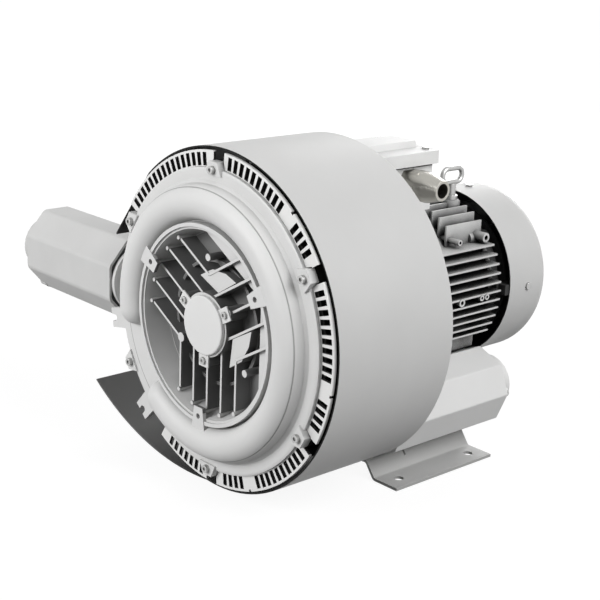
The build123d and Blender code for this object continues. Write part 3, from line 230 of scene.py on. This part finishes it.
wear_patch = math_node(wear_group, "MULTIPLY", wear_line, wear_noise.outputs["Fac"])
wear_mask = math_node(wear_group, "MULTIPLY", wear_patch, wear_in.outputs["Amount"], True)
wear_group.links.new(wear_mask, wear_out.inputs["Mask"])

# Dust and painted shade: corners darken with dust and painted shade, from the open space round them.
dust_and_shade_least = 0.4
dust_and_shade_group, dust_and_shade_in, dust_and_shade_out = new_group(
    "dust_and_shade",
    [("Reach", "f"), ("Amount", "f"), ("Patch Scale", "f")],
    [("Mask", "f")],
)
dust_and_shade_space = dust_and_shade_group.nodes.new("ShaderNodeAmbientOcclusion")
dust_and_shade_space.samples = 4
dust_and_shade_where = dust_and_shade_group.nodes.new("ShaderNodeTexCoord")
dust_and_shade_noise = dust_and_shade_group.nodes.new("ShaderNodeTexNoise")
dust_and_shade_noise.inputs["Detail"].default_value = 5.0
dust_and_shade_group.links.new(dust_and_shade_in.outputs["Reach"], dust_and_shade_space.inputs["Distance"])
dust_and_shade_group.links.new(dust_and_shade_where.outputs["Object"], dust_and_shade_noise.inputs["Vector"])
dust_and_shade_group.links.new(dust_and_shade_in.outputs["Patch Scale"], dust_and_shade_noise.inputs["Scale"])
dust_and_shade_shut = math_node(dust_and_shade_group, "SUBTRACT", 1.0, dust_and_shade_space.outputs["AO"], True)
dust_and_shade_patch = math_node(dust_and_shade_group, "ADD", dust_and_shade_noise.outputs["Fac"], dust_and_shade_least)
dust_and_shade_both = math_node(dust_and_shade_group, "MULTIPLY", dust_and_shade_shut, dust_and_shade_patch)
dust_and_shade_mask = math_node(dust_and_shade_group, "MULTIPLY", dust_and_shade_both, dust_and_shade_in.outputs["Amount"], True)
dust_and_shade_group.links.new(dust_and_shade_mask, dust_and_shade_out.inputs["Mask"])

# Grain: fine pits and cloudy tone of a cast or sprayed skin, as a height and a tone.
grain_group, grain_in, grain_out = new_group(
    "grain",
    [("Pit Scale", "f"), ("Cloud Scale", "f"), ("Stretch", "v")],
    [("Height", "f"), ("Tone", "f")],
)
grain_where = grain_group.nodes.new("ShaderNodeTexCoord")
grain_stretch = grain_group.nodes.new("ShaderNodeVectorMath")
grain_stretch.operation = "MULTIPLY"
grain_pits = grain_group.nodes.new("ShaderNodeTexNoise")
grain_pits.inputs["Detail"].default_value = 3.0
grain_cloud = grain_group.nodes.new("ShaderNodeTexNoise")
grain_cloud.inputs["Detail"].default_value = 4.0
grain_group.links.new(grain_where.outputs["Object"], grain_stretch.inputs[0])
grain_group.links.new(grain_in.outputs["Stretch"], grain_stretch.inputs[1])
grain_group.links.new(grain_stretch.outputs["Vector"], grain_pits.inputs["Vector"])
grain_group.links.new(grain_where.outputs["Object"], grain_cloud.inputs["Vector"])
grain_group.links.new(grain_in.outputs["Pit Scale"], grain_pits.inputs["Scale"])
grain_group.links.new(grain_in.outputs["Cloud Scale"], grain_cloud.inputs["Scale"])
grain_group.links.new(grain_pits.outputs["Fac"], grain_out.inputs["Height"])
grain_group.links.new(grain_cloud.outputs["Fac"], grain_out.inputs["Tone"])

# Place on the drum: how far out and how far back a point lies, and which way its face looks.
inward_least = 0.002
facing_least = 0.6
place_on_drum, drum_in, drum_out = new_group(
    "place_on_drum", [],
    [("Radius", "f"), ("Depth", "f"), ("Across", "f"), ("Faces Shaft", "f"), ("Faces Front", "f"),
     ("Faces Back", "f")],
)
drum_where = place_on_drum.nodes.new("ShaderNodeTexCoord")
drum_point = place_on_drum.nodes.new("ShaderNodeSeparateXYZ")
drum_normal = place_on_drum.nodes.new("ShaderNodeSeparateXYZ")
place_on_drum.links.new(drum_where.outputs["Object"], drum_point.inputs["Vector"])
place_on_drum.links.new(drum_where.outputs["Normal"], drum_normal.inputs["Vector"])
point_x, point_y, point_z = drum_point.outputs
normal_x, normal_y, normal_z = drum_normal.outputs
height = math_node(place_on_drum, "SUBTRACT", point_z, shaft_height)
across_part = math_node(place_on_drum, "MULTIPLY", point_x, point_x)
height_part = math_node(place_on_drum, "MULTIPLY", height, height)
square = math_node(place_on_drum, "ADD", across_part, height_part)
outward = math_node(
    place_on_drum, "ADD",
    math_node(place_on_drum, "MULTIPLY", point_x, normal_x),
    math_node(place_on_drum, "MULTIPLY", height, normal_z),
)
for label, value in (
    ("Radius", math_node(place_on_drum, "SQRT", square, 0)),
    ("Depth", math_node(place_on_drum, "SUBTRACT", point_y, drum_front)),
    ("Across", point_x),
    ("Faces Shaft", math_node(place_on_drum, "LESS_THAN", outward, -inward_least)),
    ("Faces Front", math_node(place_on_drum, "LESS_THAN", normal_y, -facing_least)),
    ("Faces Back", math_node(place_on_drum, "GREATER_THAN", normal_y, facing_least)),
):
    place_on_drum.links.new(value, drum_out.inputs[label])


def place_group(tree, group, **amounts):
    """Puts a shared effect in a material with its own amounts."""
    node = tree.nodes.new("ShaderNodeGroup")
    node.node_tree = group
    for name, value in amounts.items():
        node.inputs[name.replace("_", " ")].default_value = value
    return node


def mix_colour(tree, factor, first, second):
    """Mixes two colours, given as sockets or plain colours, by a mask."""
    node = tree.nodes.new("ShaderNodeMix")
    node.data_type = "RGBA"
    tree.links.new(factor, node.inputs["Factor"])
    for socket, value in ((node.inputs[6], first), (node.inputs[7], second)):
        if isinstance(value, tuple):
            socket.default_value = (*value, 1)
        else:
            tree.links.new(value, socket)
    return node.outputs[2]


def surface(name, colour, cloud, edge, dust_and_shade_tone, metallic, rough, gloss=0.04, pit_scale=900.0,
            pit_depth=0.00006, stretch=(1, 1, 1), wear=0.5, wear_radius=0.0012, wear_patch=60.0,
            dust_and_shade=0.5, dust_and_shade_reach=0.02, dust_and_shade_patch=25.0, cloud_scale=14.0, rough_spread=0.07,
            shade=None, shade_colour=(0.02, 0.02, 0.02), seam=None, seam_dark=0.75, seam_sunk=0.0006):
    """A finish: a base tone with clouds, bright edges, dust and painted shade in corners, and grain as
    bump and gloss. Where shade gives a mask, the skin takes shade_colour as painted shade, a colour or
    a function that makes one. Where seam gives a mask, a fine line is sunk into it and darkened as
    painted shade."""
    made = bpy.data.materials.new(name)
    made.use_nodes = True
    tree = made.node_tree
    shader = tree.nodes["Principled BSDF"]
    shader.inputs["Metallic"].default_value = metallic
    shader.inputs["Specular IOR Level"].default_value = gloss
    grain = place_group(tree, grain_group, Pit_Scale=pit_scale, Cloud_Scale=cloud_scale, Stretch=stretch)
    edges = place_group(tree, wear_group, Radius=wear_radius, Amount=wear, Patch_Scale=wear_patch)
    corners = place_group(tree, dust_and_shade_group, Reach=dust_and_shade_reach, Amount=dust_and_shade, Patch_Scale=dust_and_shade_patch)
    toned = mix_colour(tree, grain.outputs["Tone"], colour, cloud)
    if shade:
        shade_tone = shade_colour(tree) if callable(shade_colour) else shade_colour
        toned = mix_colour(tree, shade(tree), toned, shade_tone)
    bright = mix_colour(tree, edges.outputs["Mask"], toned, edge)
    with_dust_and_shade = mix_colour(tree, corners.outputs["Mask"], bright, dust_and_shade_tone)
    if seam:
        line = seam(tree)
        with_dust_and_shade = mix_colour(tree, math_node(tree, "MULTIPLY", line, seam_dark), with_dust_and_shade, dust_and_shade_tone)
    tree.links.new(with_dust_and_shade, shader.inputs["Base Color"])
    roughness = tree.nodes.new("ShaderNodeMapRange")
    roughness.inputs["To Min"].default_value = rough - rough_spread
    roughness.inputs["To Max"].default_value = rough + rough_spread
    tree.links.new(grain.outputs["Height"], roughness.inputs["Value"])
    tree.links.new(roughness.outputs["Result"], shader.inputs["Roughness"])
    bump = tree.nodes.new("ShaderNodeBump")
    bump.inputs["Strength"].default_value = 0.5
    bump.inputs["Distance"].default_value = pit_depth
    tree.links.new(grain.outputs["Height"], bump.inputs["Height"])
    if seam:
        sunk = tree.nodes.new("ShaderNodeBump")
        sunk.invert = True
        sunk.inputs["Strength"].default_value = 0.8
        sunk.inputs["Distance"].default_value = seam_sunk
        tree.links.new(line, sunk.inputs["Height"])
        tree.links.new(bump.outputs["Normal"], sunk.inputs["Normal"])
        bump = sunk
    tree.links.new(bump.outputs["Normal"], shader.inputs["Normal"])
    return made


def break_edges(piece, width):
    """Softly broken edges on a piece, where its faces meet at more than a slight angle."""
    bevel = piece.modifiers.new("broken_edges", "BEVEL")
    bevel.width = width
    bevel.segments = 2
    bevel.limit_method = "ANGLE"
    bevel.angle_limit = radians(35)


def even_normals(piece):
    """Smooth shading that keeps large faces flat."""
    for face in piece.data.polygons:
        face.use_smooth = True
    piece.modifiers.new("even_normals", "WEIGHTED_NORMAL").keep_sharp = True


def dress(names, material, soften=0.0005):
    """Gives CAD nodes a finish, smooth round faces and softly broken edges."""
    for name in names:
        node = nodes[name]
        node.data.materials.clear()
        node.data.materials.append(material)
        weld = node.modifiers.new("weld", "WELD")
        weld.merge_threshold = 0.00001
        flat = node.modifiers.new("flat_faces", "DECIMATE")
        flat.decimate_type = "DISSOLVE"
        flat.angle_limit = radians(0.4)
        if soften:
            break_edges(node, soften)
        even_normals(node)


def drum_shade(tree):
    """Painted shade: the casings' skin down in the narrow gap under the cowl and behind the grille."""
    place = place_group(tree, place_on_drum)
    inside = math_node(tree, "LESS_THAN", place.outputs["Radius"], gap_radius)
    near = math_node(tree, "LESS_THAN", place.outputs["Depth"], gap_depth)
    covered = math_node(tree, "GREATER_THAN", place.outputs["Across"], gap_left)
    turned = math_node(tree, "SUBTRACT", 1.0, place.outputs["Faces Back"])
    gap = math_node(tree, "MULTIPLY", math_node(tree, "MULTIPLY", inside, near), covered)
    return math_node(tree, "MULTIPLY", gap, turned)


casing_silver = surface(
    "casing_silver", silver, silver_cloud, silver_edge, silver_dust_and_shade, 0.4, 0.5, pit_scale=700.0,
    pit_depth=0.00012, shade=drum_shade, shade_colour=gap_shade_black, wear=0.0,
)
dress(["middle_casing", "rear_casing"], casing_silver)

# Impellers: two bladed wheels of cast aluminium, milled on their blades and turned on their rims,
# keyed to the shaft between the casings.
turned_aluminium = surface(
    "turned_aluminium", (0.6, 0.6, 0.6), (0.66, 0.66, 0.66), (0.85, 0.85, 0.84), (0.15, 0.15, 0.15),
    0.9, 0.35,
)
dress(["impeller_front", "impeller_rear"], turned_aluminium, 0)

# Front cover: one aluminium casting held by six screws at its lugs, sprayed silver. The recess
# between the ribs is painted dark as shade, apart from the front faces that stand up from it. A fine
# parting line of the mould runs round the side channel's bulge, sunk and darkened as painted shade.
recess_radius = 0.1105
recess_floor = -0.003
seam_radius = 0.168
seam_width = 0.0007
seam_depth = -0.0135


def recess_shade(tree):
    """Painted shade on everything down in the cover's recess, apart from the front faces of ribs, pads
    and hub.
    """
    place = place_group(tree, place_on_drum)
    inside = math_node(tree, "LESS_THAN", place.outputs["Radius"], recess_radius)
    raised = math_node(tree, "LESS_THAN", place.outputs["Depth"], recess_floor)
    lit = math_node(tree, "MULTIPLY", raised, place.outputs["Faces Front"])
    return math_node(tree, "MULTIPLY", inside, math_node(tree, "SUBTRACT", 1.0, lit))


def bulge_seam(tree):
    """Fine parting line along the outer flank of the side channel's bulge; its dark tone is painted
    shade.
    """
    place = place_group(tree, place_on_drum)
    aside = math_node(tree, "SUBTRACT", place.outputs["Radius"], seam_radius)
    off = math_node(tree, "ABSOLUTE", aside, 0)
    line = math_node(tree, "SUBTRACT", 1.0, math_node(tree, "DIVIDE", off, seam_width), True)
    raised = math_node(tree, "LESS_THAN", place.outputs["Depth"], seam_depth)
    return math_node(tree, "MULTIPLY", line, raised)


cover_silver = surface(
    "cover_silver", silver, silver_cloud, silver_edge, silver_dust_and_shade, 0.04, 0.48, pit_scale=700.0,
    pit_depth=0.0001, shade=recess_shade, shade_colour=(0.2, 0.2, 0.2), seam=bulge_seam,
)
dress(["front_cover"], cover_silver)

# Hub cap, terminal box with its lid, and right silencer: small sand castings with a lighter
# coat, each screwed or bolted to the larger casting that carries it.
cast_silver = surface(
    "cast_silver", (0.77, 0.77, 0.765), (0.84, 0.84, 0.835), (0.92, 0.92, 0.91), silver_dust_and_shade,
    0.04, 0.5, pit_scale=700.0, pit_depth=0.00012,
)
dress(["hub_cap", "terminal_box", "terminal_lid", "silencer_right"], cast_silver)

# Motor frame: a finned aluminium barrel with a flange, cast in one and bolted to the rear casing.
# The deep places between its fins are darkened for dust and as painted shade.
fin_silver = surface(
    "fin_silver", silver, silver_cloud, silver_edge, (0.01, 0.01, 0.01), 0.04, 0.5, pit_scale=700.0,
    pit_depth=0.00012, dust_and_shade=1.6, dust_and_shade_reach=0.03,
)
dress(["motor_frame"], fin_silver)

# Cores: stacks of punched silicon steel sheet, one pressed on the shaft and one in the frame.
# The edges of the sheets show as fine lines round them.
laminated_steel = surface(
    "laminated_steel", (0.3, 0.3, 0.32), (0.38, 0.38, 0.4), (0.6, 0.6, 0.6), (0.1, 0.1, 0.1),
    0.9, 0.45, pit_scale=60.0, stretch=(1, 40, 1), pit_depth=0.0002,
)
dress(["rotor_core", "stator_core"], laminated_steel, 0)

# Windings: varnished copper wire, wound in the stator's slots and tied at both ends.
# They lie inside the closed motor.
copper = surface(
    "copper", (0.6, 0.28, 0.12), (0.7, 0.36, 0.16), (0.85, 0.5, 0.3), (0.15, 0.07, 0.04), 0.9, 0.4,
    pit_scale=500.0,
)
dress(["windings"], copper, 0)

# Tail shield: the motor's rear end casting, held by four screws. It lies in the fan's shade, and
# that shade is painted into it as a near-black grey.
shield_shade_grey = surface(
    "shield_shade_grey", (0.05, 0.05, 0.05), (0.08, 0.08, 0.08), (0.2, 0.2, 0.2), (0.02, 0.02, 0.02), 0.3, 0.55,
)
dress(["tail_shield"], shield_shade_grey)

# Fasteners, shaft, spacers, bearings, silencer tubes and lifting eye: zinc-plated or ground
# steel, turned, forged or pressed, with a dull sheen.
bright_steel = surface(
    "bright_steel", (0.42, 0.42, 0.415), (0.5, 0.5, 0.495), (0.7, 0.7, 0.69), (0.1, 0.1, 0.09),
    1.0, 0.36, pit_scale=1500.0, pit_depth=0.00003,
)
screws = ["cover_screws", "hub_cap_screws", "casing_screws", "motor_screws", "shield_screws",
          "fan_cover_screws", "lid_screws", "foot_bolts", "silencer_left_bolts",
          "silencer_right_bolts"]
shaft_parts = ["shaft", "impeller_keys", "impeller_nut", "stage_spacer", "drive_spacer"]
bearings = [end + "_bearing_" + ring for end in ("front", "drive", "tail") for ring in ("inner", "outer")]
dress(screws + ["lifting_eye", "silencer_left_tube", "silencer_right_tube"] + shaft_parts + bearings,
      bright_steel, 0.0003)

# Cable gland: a hexagon body and a domed nut, turned in brass and nickel-plated, screwed into the
# terminal box's wall.
nickel = surface(
    "nickel", (0.4, 0.39, 0.36), (0.47, 0.46, 0.42), (0.7, 0.68, 0.63), (0.1, 0.09, 0.08),
    1.0, 0.35, pit_scale=1500.0, pit_depth=0.00002,
)
dress(["gland_body", "gland_nut"], nickel)

# Seals and lid gasket: moulded or cut black rubber, pressed in their seats round the shaft and
# under the terminal lid.
black_rubber = surface(
    "black_rubber", (0.03, 0.03, 0.03), (0.045, 0.045, 0.045), (0.1, 0.1, 0.1), (0.08, 0.08, 0.075),
    0.0, 0.75,
)
dress(["lid_gasket", "stage_seal", "shaft_seal"], black_rubber, 0)

# Cooling fan and terminal block: moulded black plastic. The fan is clamped on the shaft's tail,
# and the block is screwed down in the terminal box.
black_plastic = surface(
    "black_plastic", (0.035, 0.035, 0.037), (0.05, 0.05, 0.052), (0.1, 0.1, 0.1), (0.1, 0.1, 0.095),
    0.0, 0.5,
)
dress(["cooling_fan", "terminal_block"], black_plastic, 0.0004)

# Silencer lining: dark open-cell foam, cut to a ring and pushed in round the perforated tube.
# It is closed in by the barrel.
foam_grey = surface(
    "foam_grey", (0.06, 0.06, 0.065), (0.1, 0.1, 0.105), (0.16, 0.16, 0.16), (0.03, 0.03, 0.03),
    0.0, 0.95, pit_scale=350.0, pit_depth=0.0015,
)
dress(["silencer_left_foam", "silencer_right_foam"], foam_grey, 0)

# Left silencer: a sand-cast octagonal barrel on the duct, taller than it is wide, with a turned
# port hub at its far end and an ear for each tie bolt. A pressed plate closes its near end round the
# duct's sleeve, dark grey as painted shade, and a cast collar seats it on the drum's duct.
barrel_near = Vector((-0.248, -0.222, 0.216))
barrel_height = 0.116
barrel_width = 0.102
barrel_length = 0.211
barrel_wall = 0.004
corner_round = 0.004
far_face_rise = 0.002
far_face_share = 0.965
hub_length = 0.027
hub_radius = 0.04
hub_face_radius = 0.0384
hub_bevel = 0.0015
mouth_radius = 0.030536
mouth_bevel = 0.0012
port_radius = 0.029467
port_depth = 0.028
sleeve_radius = 0.0332
ear_radius = 0.0085
ear_tip_share = 0.94
ear_root = 0.012
ear_at = 0.0525
ear_end = 0.2145
ear_turns = (112.5, 292.5)
plate_sunk = 0.003
plate_thick = 0.0022
plate_play = 0.0004
plate_lift = 0.0001
collar_outside = 0.0475
collar_inside = 0.0306
collar_thick = 0.0065
collar_bevel = 0.001
barrel_silver = surface(
    "barrel_silver", (0.6, 0.6, 0.595), (0.69, 0.69, 0.685), silver_edge, silver_dust_and_shade, 0.04, 0.5,
    pit_scale=700.0, pit_depth=0.00012,
)
# Painted shade: dark grey sheet for the silencer's end plate and the disc behind the fan cover.
painted_shade_sheet = surface(
    "painted_shade_sheet", (0.08, 0.08, 0.08), (0.1, 0.1, 0.1), (0.2, 0.2, 0.2), (0.05, 0.05, 0.05),
    0.0, 0.6, gloss=0.1,
)
outward_along = Matrix(((0, 0, -1), (-1, 0, 0), (0, 1, 0))).to_4x4()
barrel_place = Matrix.Translation(barrel_near) @ outward_along
flats_to_corners = 1 / cos(pi / 8)


def points_of(made):
    """The points among what an operator made."""
    return [item for item in made if isinstance(item, bmesh.types.BMVert)]


def octagon(mesh, corner_radius):
    """Open octagonal rim that stands on a flat, pressed in to the barrel's width."""
    bmesh.ops.create_circle(mesh, segments=8, radius=corner_radius)
    bmesh.ops.rotate(mesh, matrix=Matrix.Rotation(pi / 8, 3, "Z"), verts=mesh.verts)
    bmesh.ops.scale(mesh, vec=(barrel_width / barrel_height, 1, 1), verts=mesh.verts)


def pull_rim(mesh, rim, rise, grow):
    """Pulls an open rim along the barrel's axis and in or out, and gives the new rim."""
    pulled = bmesh.ops.extrude_edge_only(mesh, edges=rim)["geom"]
    bmesh.ops.scale(mesh, vec=(grow, grow, 1), verts=points_of(pulled))
    bmesh.ops.translate(mesh, vec=(0, 0, rise), verts=points_of(pulled))
    return [item for item in pulled if isinstance(item, bmesh.types.BMEdge) and item.is_boundary]


def round_rim(mesh, radius, level):
    """A round open rim to which an end face is joined."""
    made = bmesh.ops.create_circle(mesh, segments=64, radius=radius)["verts"]
    bmesh.ops.translate(mesh, vec=(0, 0, level), verts=made)
    return list({edge for vert in made for edge in vert.link_edges})


def finish_piece(mesh, name, material, place, soften=0.0004):
    """Makes a scene piece of a mesh, with even faces, softly broken edges and its body."""
    bmesh.ops.transform(mesh, matrix=place, verts=mesh.verts)
    bmesh.ops.remove_doubles(mesh, verts=mesh.verts, dist=0.00001)
    bmesh.ops.recalc_face_normals(mesh, faces=mesh.faces)
    data = bpy.data.meshes.new(name)
    mesh.to_mesh(data)
    mesh.free()
    data.materials.append(material)
    piece = bpy.data.objects.new(name, data)
    bpy.context.scene.collection.objects.link(piece)
    if soften:
        break_edges(piece, soften)
    even_normals(piece)
    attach(piece, "housing")
    return piece


barrel = bmesh.new()
octagon(barrel, barrel_height / 2 * flats_to_corners)
pull_rim(barrel, list(barrel.edges), barrel_length, 1.0)
long_edges = [edge for edge in barrel.edges if not edge.is_boundary]
bmesh.ops.bevel(barrel, geom=long_edges, offset=corner_round, segments=4, profile=0.5,
                affect="EDGES", material=-1)
open_edges = [edge for edge in barrel.edges if edge.is_boundary]
far_rim = [edge for edge in open_edges if edge.verts[0].co.z > barrel_length / 2]
near_rim = [edge for edge in open_edges if edge.verts[0].co.z < barrel_length / 2]
far_rim = pull_rim(barrel, far_rim, far_face_rise, far_face_share)
hub_rim = round_rim(barrel, hub_radius, barrel_length + far_face_rise)
bmesh.ops.triangle_fill(barrel, edges=far_rim + hub_rim, use_beauty=True)
hub_rim = pull_rim(barrel, hub_rim, hub_length - far_face_rise - hub_bevel, 1.0)
hub_rim = pull_rim(barrel, hub_rim, hub_bevel, hub_face_radius / hub_radius)
mouth = pull_rim(barrel, hub_rim, 0.0, mouth_radius / hub_face_radius)
bore = pull_rim(barrel, mouth, -mouth_bevel, port_radius / mouth_radius)
bore = pull_rim(barrel, bore, -port_depth, 1.0)
bore = pull_rim(barrel, bore, 0.0, sleeve_radius / port_radius)
near_rim = pull_rim(barrel, near_rim, 0.0, 1 - barrel_wall / (barrel_height / 2))
near_rim = pull_rim(barrel, near_rim, plate_sunk, 1.0)
sleeve_rim = round_rim(barrel, sleeve_radius, plate_sunk)
bmesh.ops.triangle_fill(barrel, edges=near_rim + sleeve_rim, use_beauty=True)
bmesh.ops.bridge_loops(barrel, edges=sleeve_rim + bore)
ear_length = ear_end - barrel_length + ear_root
for turn in ear_turns:
    ear = bmesh.ops.create_cone(barrel, cap_ends=True, segments=32, radius1=ear_radius,
                                radius2=ear_radius * ear_tip_share, depth=ear_length)["verts"]
    ear_place = (ear_at * cos(radians(turn)), ear_at * sin(radians(turn)), ear_end - ear_length / 2)
    bmesh.ops.translate(barrel, vec=ear_place, verts=ear)
silencer_barrel = finish_piece(barrel, "silencer_barrel", barrel_silver, barrel_place)
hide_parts("silencer_left", "silencer_left_foam")

end_plate = bmesh.new()
plate_level = plate_sunk - plate_lift
octagon(end_plate, (barrel_height / 2 - barrel_wall) * flats_to_corners - plate_play)
bmesh.ops.translate(end_plate, vec=(0, 0, plate_level), verts=end_plate.verts)
plate_rim = list(end_plate.edges)
sleeve_rim = round_rim(end_plate, sleeve_radius, plate_level)
bmesh.ops.triangle_fill(end_plate, edges=plate_rim + sleeve_rim, use_beauty=True)
plate_back = bmesh.ops.extrude_face_region(end_plate, geom=end_plate.faces)["geom"]
bmesh.ops.translate(end_plate, vec=(0, 0, -plate_thick), verts=points_of(plate_back))
finish_piece(end_plate, "silencer_end_plate", painted_shade_sheet, barrel_place)

collar = bmesh.new()
collar_face = collar_outside - collar_bevel
rim = round_rim(collar, collar_inside, plate_level - plate_thick - plate_lift)
rim = pull_rim(collar, rim, 0.0, collar_face / collar_inside)
rim = pull_rim(collar, rim, -collar_bevel, collar_outside / collar_face)
rim = pull_rim(collar, rim, 2 * collar_bevel - collar_thick, 1.0)
rim = pull_rim(collar, rim, -collar_bevel, collar_face / collar_outside)
rim = pull_rim(collar, rim, 0.0, collar_inside / collar_face)
pull_rim(collar, rim, collar_thick, 1.0)
finish_piece(collar, "duct_collar", cast_silver, barrel_place, soften=0)

# Feet: two rails of steel sheet, bent to a Z and punched for the floor bolts, bolted to the rear
# casing's arms and sprayed a duller silver than the castings, made darker still as painted shade.
sheet_silver = surface(
    "sheet_silver", (0.44, 0.44, 0.435), (0.5, 0.5, 0.495), silver_edge, (0.2, 0.2, 0.19), 0.04, 0.48,
    pit_scale=1800.0, pit_depth=0.00003, dust_and_shade=0.3,
)
dress(["foot_right", "foot_left"], sheet_silver)

# Drum cowl: one rolled steel sheet round the drum, sprayed silver. Its inner face is painted black
# as shade by the casings; the tail at the lower left stands free, and there the painted shade is grey.
tail_start = 0.2175
tail_end = 0.262
cowl_hidden = 0.11
cowl_depth = 0.187


def fade(tree, source, start, end):
    """Rises from none to full between two measures."""
    ramp = tree.nodes.new("ShaderNodeMapRange")
    ramp.inputs["From Min"].default_value = start
    ramp.inputs["From Max"].default_value = end
    tree.links.new(source, ramp.inputs["Value"])
    return ramp.outputs["Result"]


def cowl_inside(tree):
    """Painted shade on the cowl's inner face: black by the casings, grey out on the open tail."""
    place = place_group(tree, place_on_drum)
    out = fade(tree, place.outputs["Radius"], tail_start, tail_end)
    deep = fade(tree, place.outputs["Depth"], cowl_hidden, cowl_depth)
    open_air = math_node(tree, "MAXIMUM", out, deep)
    return mix_colour(tree, open_air, (0.004, 0.004, 0.004), (0.17, 0.17, 0.168))


def inward_shade(tree):
    """Faces of a sheet shell that look in at the shaft or forward from its closed end."""
    place = place_group(tree, place_on_drum)
    return math_node(tree, "MAXIMUM", place.outputs["Faces Shaft"], place.outputs["Faces Front"])


cowl_silver = surface(
    "cowl_silver", (0.62, 0.62, 0.615), (0.67, 0.67, 0.665), silver_edge, (0.2, 0.2, 0.19), 0.04, 0.48,
    pit_scale=1800.0, pit_depth=0.00003, dust_and_shade=0.2, wear=0.2, shade=inward_shade,
    shade_colour=cowl_inside,
)
dress(["drum_cowl"], cowl_silver, 0.0003)

# Fan cover: a deep-drawn steel bowl over the cooling fan, slotted in its back, held by screws at
# its rim. It is sprayed silver, and its inner faces are painted black as shade.
shell_silver = surface(
    "shell_silver", (0.6, 0.6, 0.595), (0.67, 0.67, 0.665), silver_edge, (0.2, 0.2, 0.19), 0.04, 0.48,
    pit_scale=1800.0, pit_depth=0.00003, dust_and_shade=0.2, wear=0.2, shade=inward_shade,
    shade_colour=(0.01, 0.01, 0.01),
)
dress(["fan_cover"], shell_silver, 0.0003)

# Shade disc: a pressed dark disc on three spacers behind the fan cover's slots, put there as painted
# shade so that the slots show dark. Air passes round its rim.
shade_disc_flat_radius = 0.088
shade_disc_level = 0.191
shade_disc_thick = 0.0012
dish_depth = 0.004
dish_share = 1.05
rim_drop = 0.0005
rim_share = 1.02
spacer_radius = 0.0035
spacer_circle = 0.07
cover_back_inside = 0.215
spacer_length = cover_back_inside - shade_disc_level
backward_along = Matrix(((1, 0, 0), (0, 0, 1), (0, -1, 0))).to_4x4()
shade_disc_mesh = bmesh.new()
bmesh.ops.create_circle(shade_disc_mesh, cap_ends=True, segments=64, radius=shade_disc_flat_radius)
rim = pull_rim(shade_disc_mesh, [edge for edge in shade_disc_mesh.edges if edge.is_boundary], -dish_depth, dish_share)
pull_rim(shade_disc_mesh, rim, -rim_drop, rim_share)
bmesh.ops.solidify(shade_disc_mesh, geom=shade_disc_mesh.faces, thickness=shade_disc_thick)
for angle in (radians(90), radians(210), radians(330)):
    spacer = bmesh.ops.create_cone(shade_disc_mesh, cap_ends=True, segments=24, radius1=spacer_radius,
                                   radius2=spacer_radius, depth=spacer_length)["verts"]
    spacer_place = (spacer_circle * cos(angle), spacer_circle * sin(angle), spacer_length / 2)
    bmesh.ops.translate(shade_disc_mesh, vec=spacer_place, verts=spacer)
finish_piece(shade_disc_mesh, "shade_disc", painted_shade_sheet,
             Matrix.Translation((0, shade_disc_level, shaft_height)) @ backward_along, soften=0)

# Outlet grille: five comb segments cast in light metal, pressed in between the cover's flange and
# the cowl. Their faces are bright, and the walls of the slots are painted black as shade.
slots_reach = 0.2087


def slot_wall_shade(tree):
    """The walls of the grille's slots, where shade is painted black."""
    place = place_group(tree, place_on_drum)
    within = math_node(tree, "LESS_THAN", place.outputs["Radius"], slots_reach)
    aside = math_node(tree, "SUBTRACT", 1.0, place.outputs["Faces Front"], True)
    return math_node(tree, "MULTIPLY", within, aside)


grille_silver = surface(
    "grille_silver", (0.74, 0.74, 0.735), (0.8, 0.8, 0.79), (0.9, 0.9, 0.89), (0.25, 0.25, 0.24),
    0.3, 0.4, dust_and_shade=0.3, shade=slot_wall_shade, shade_colour=(0.025, 0.025, 0.025),
)
dress(["outlet_grille"], grille_silver, 0.0003)
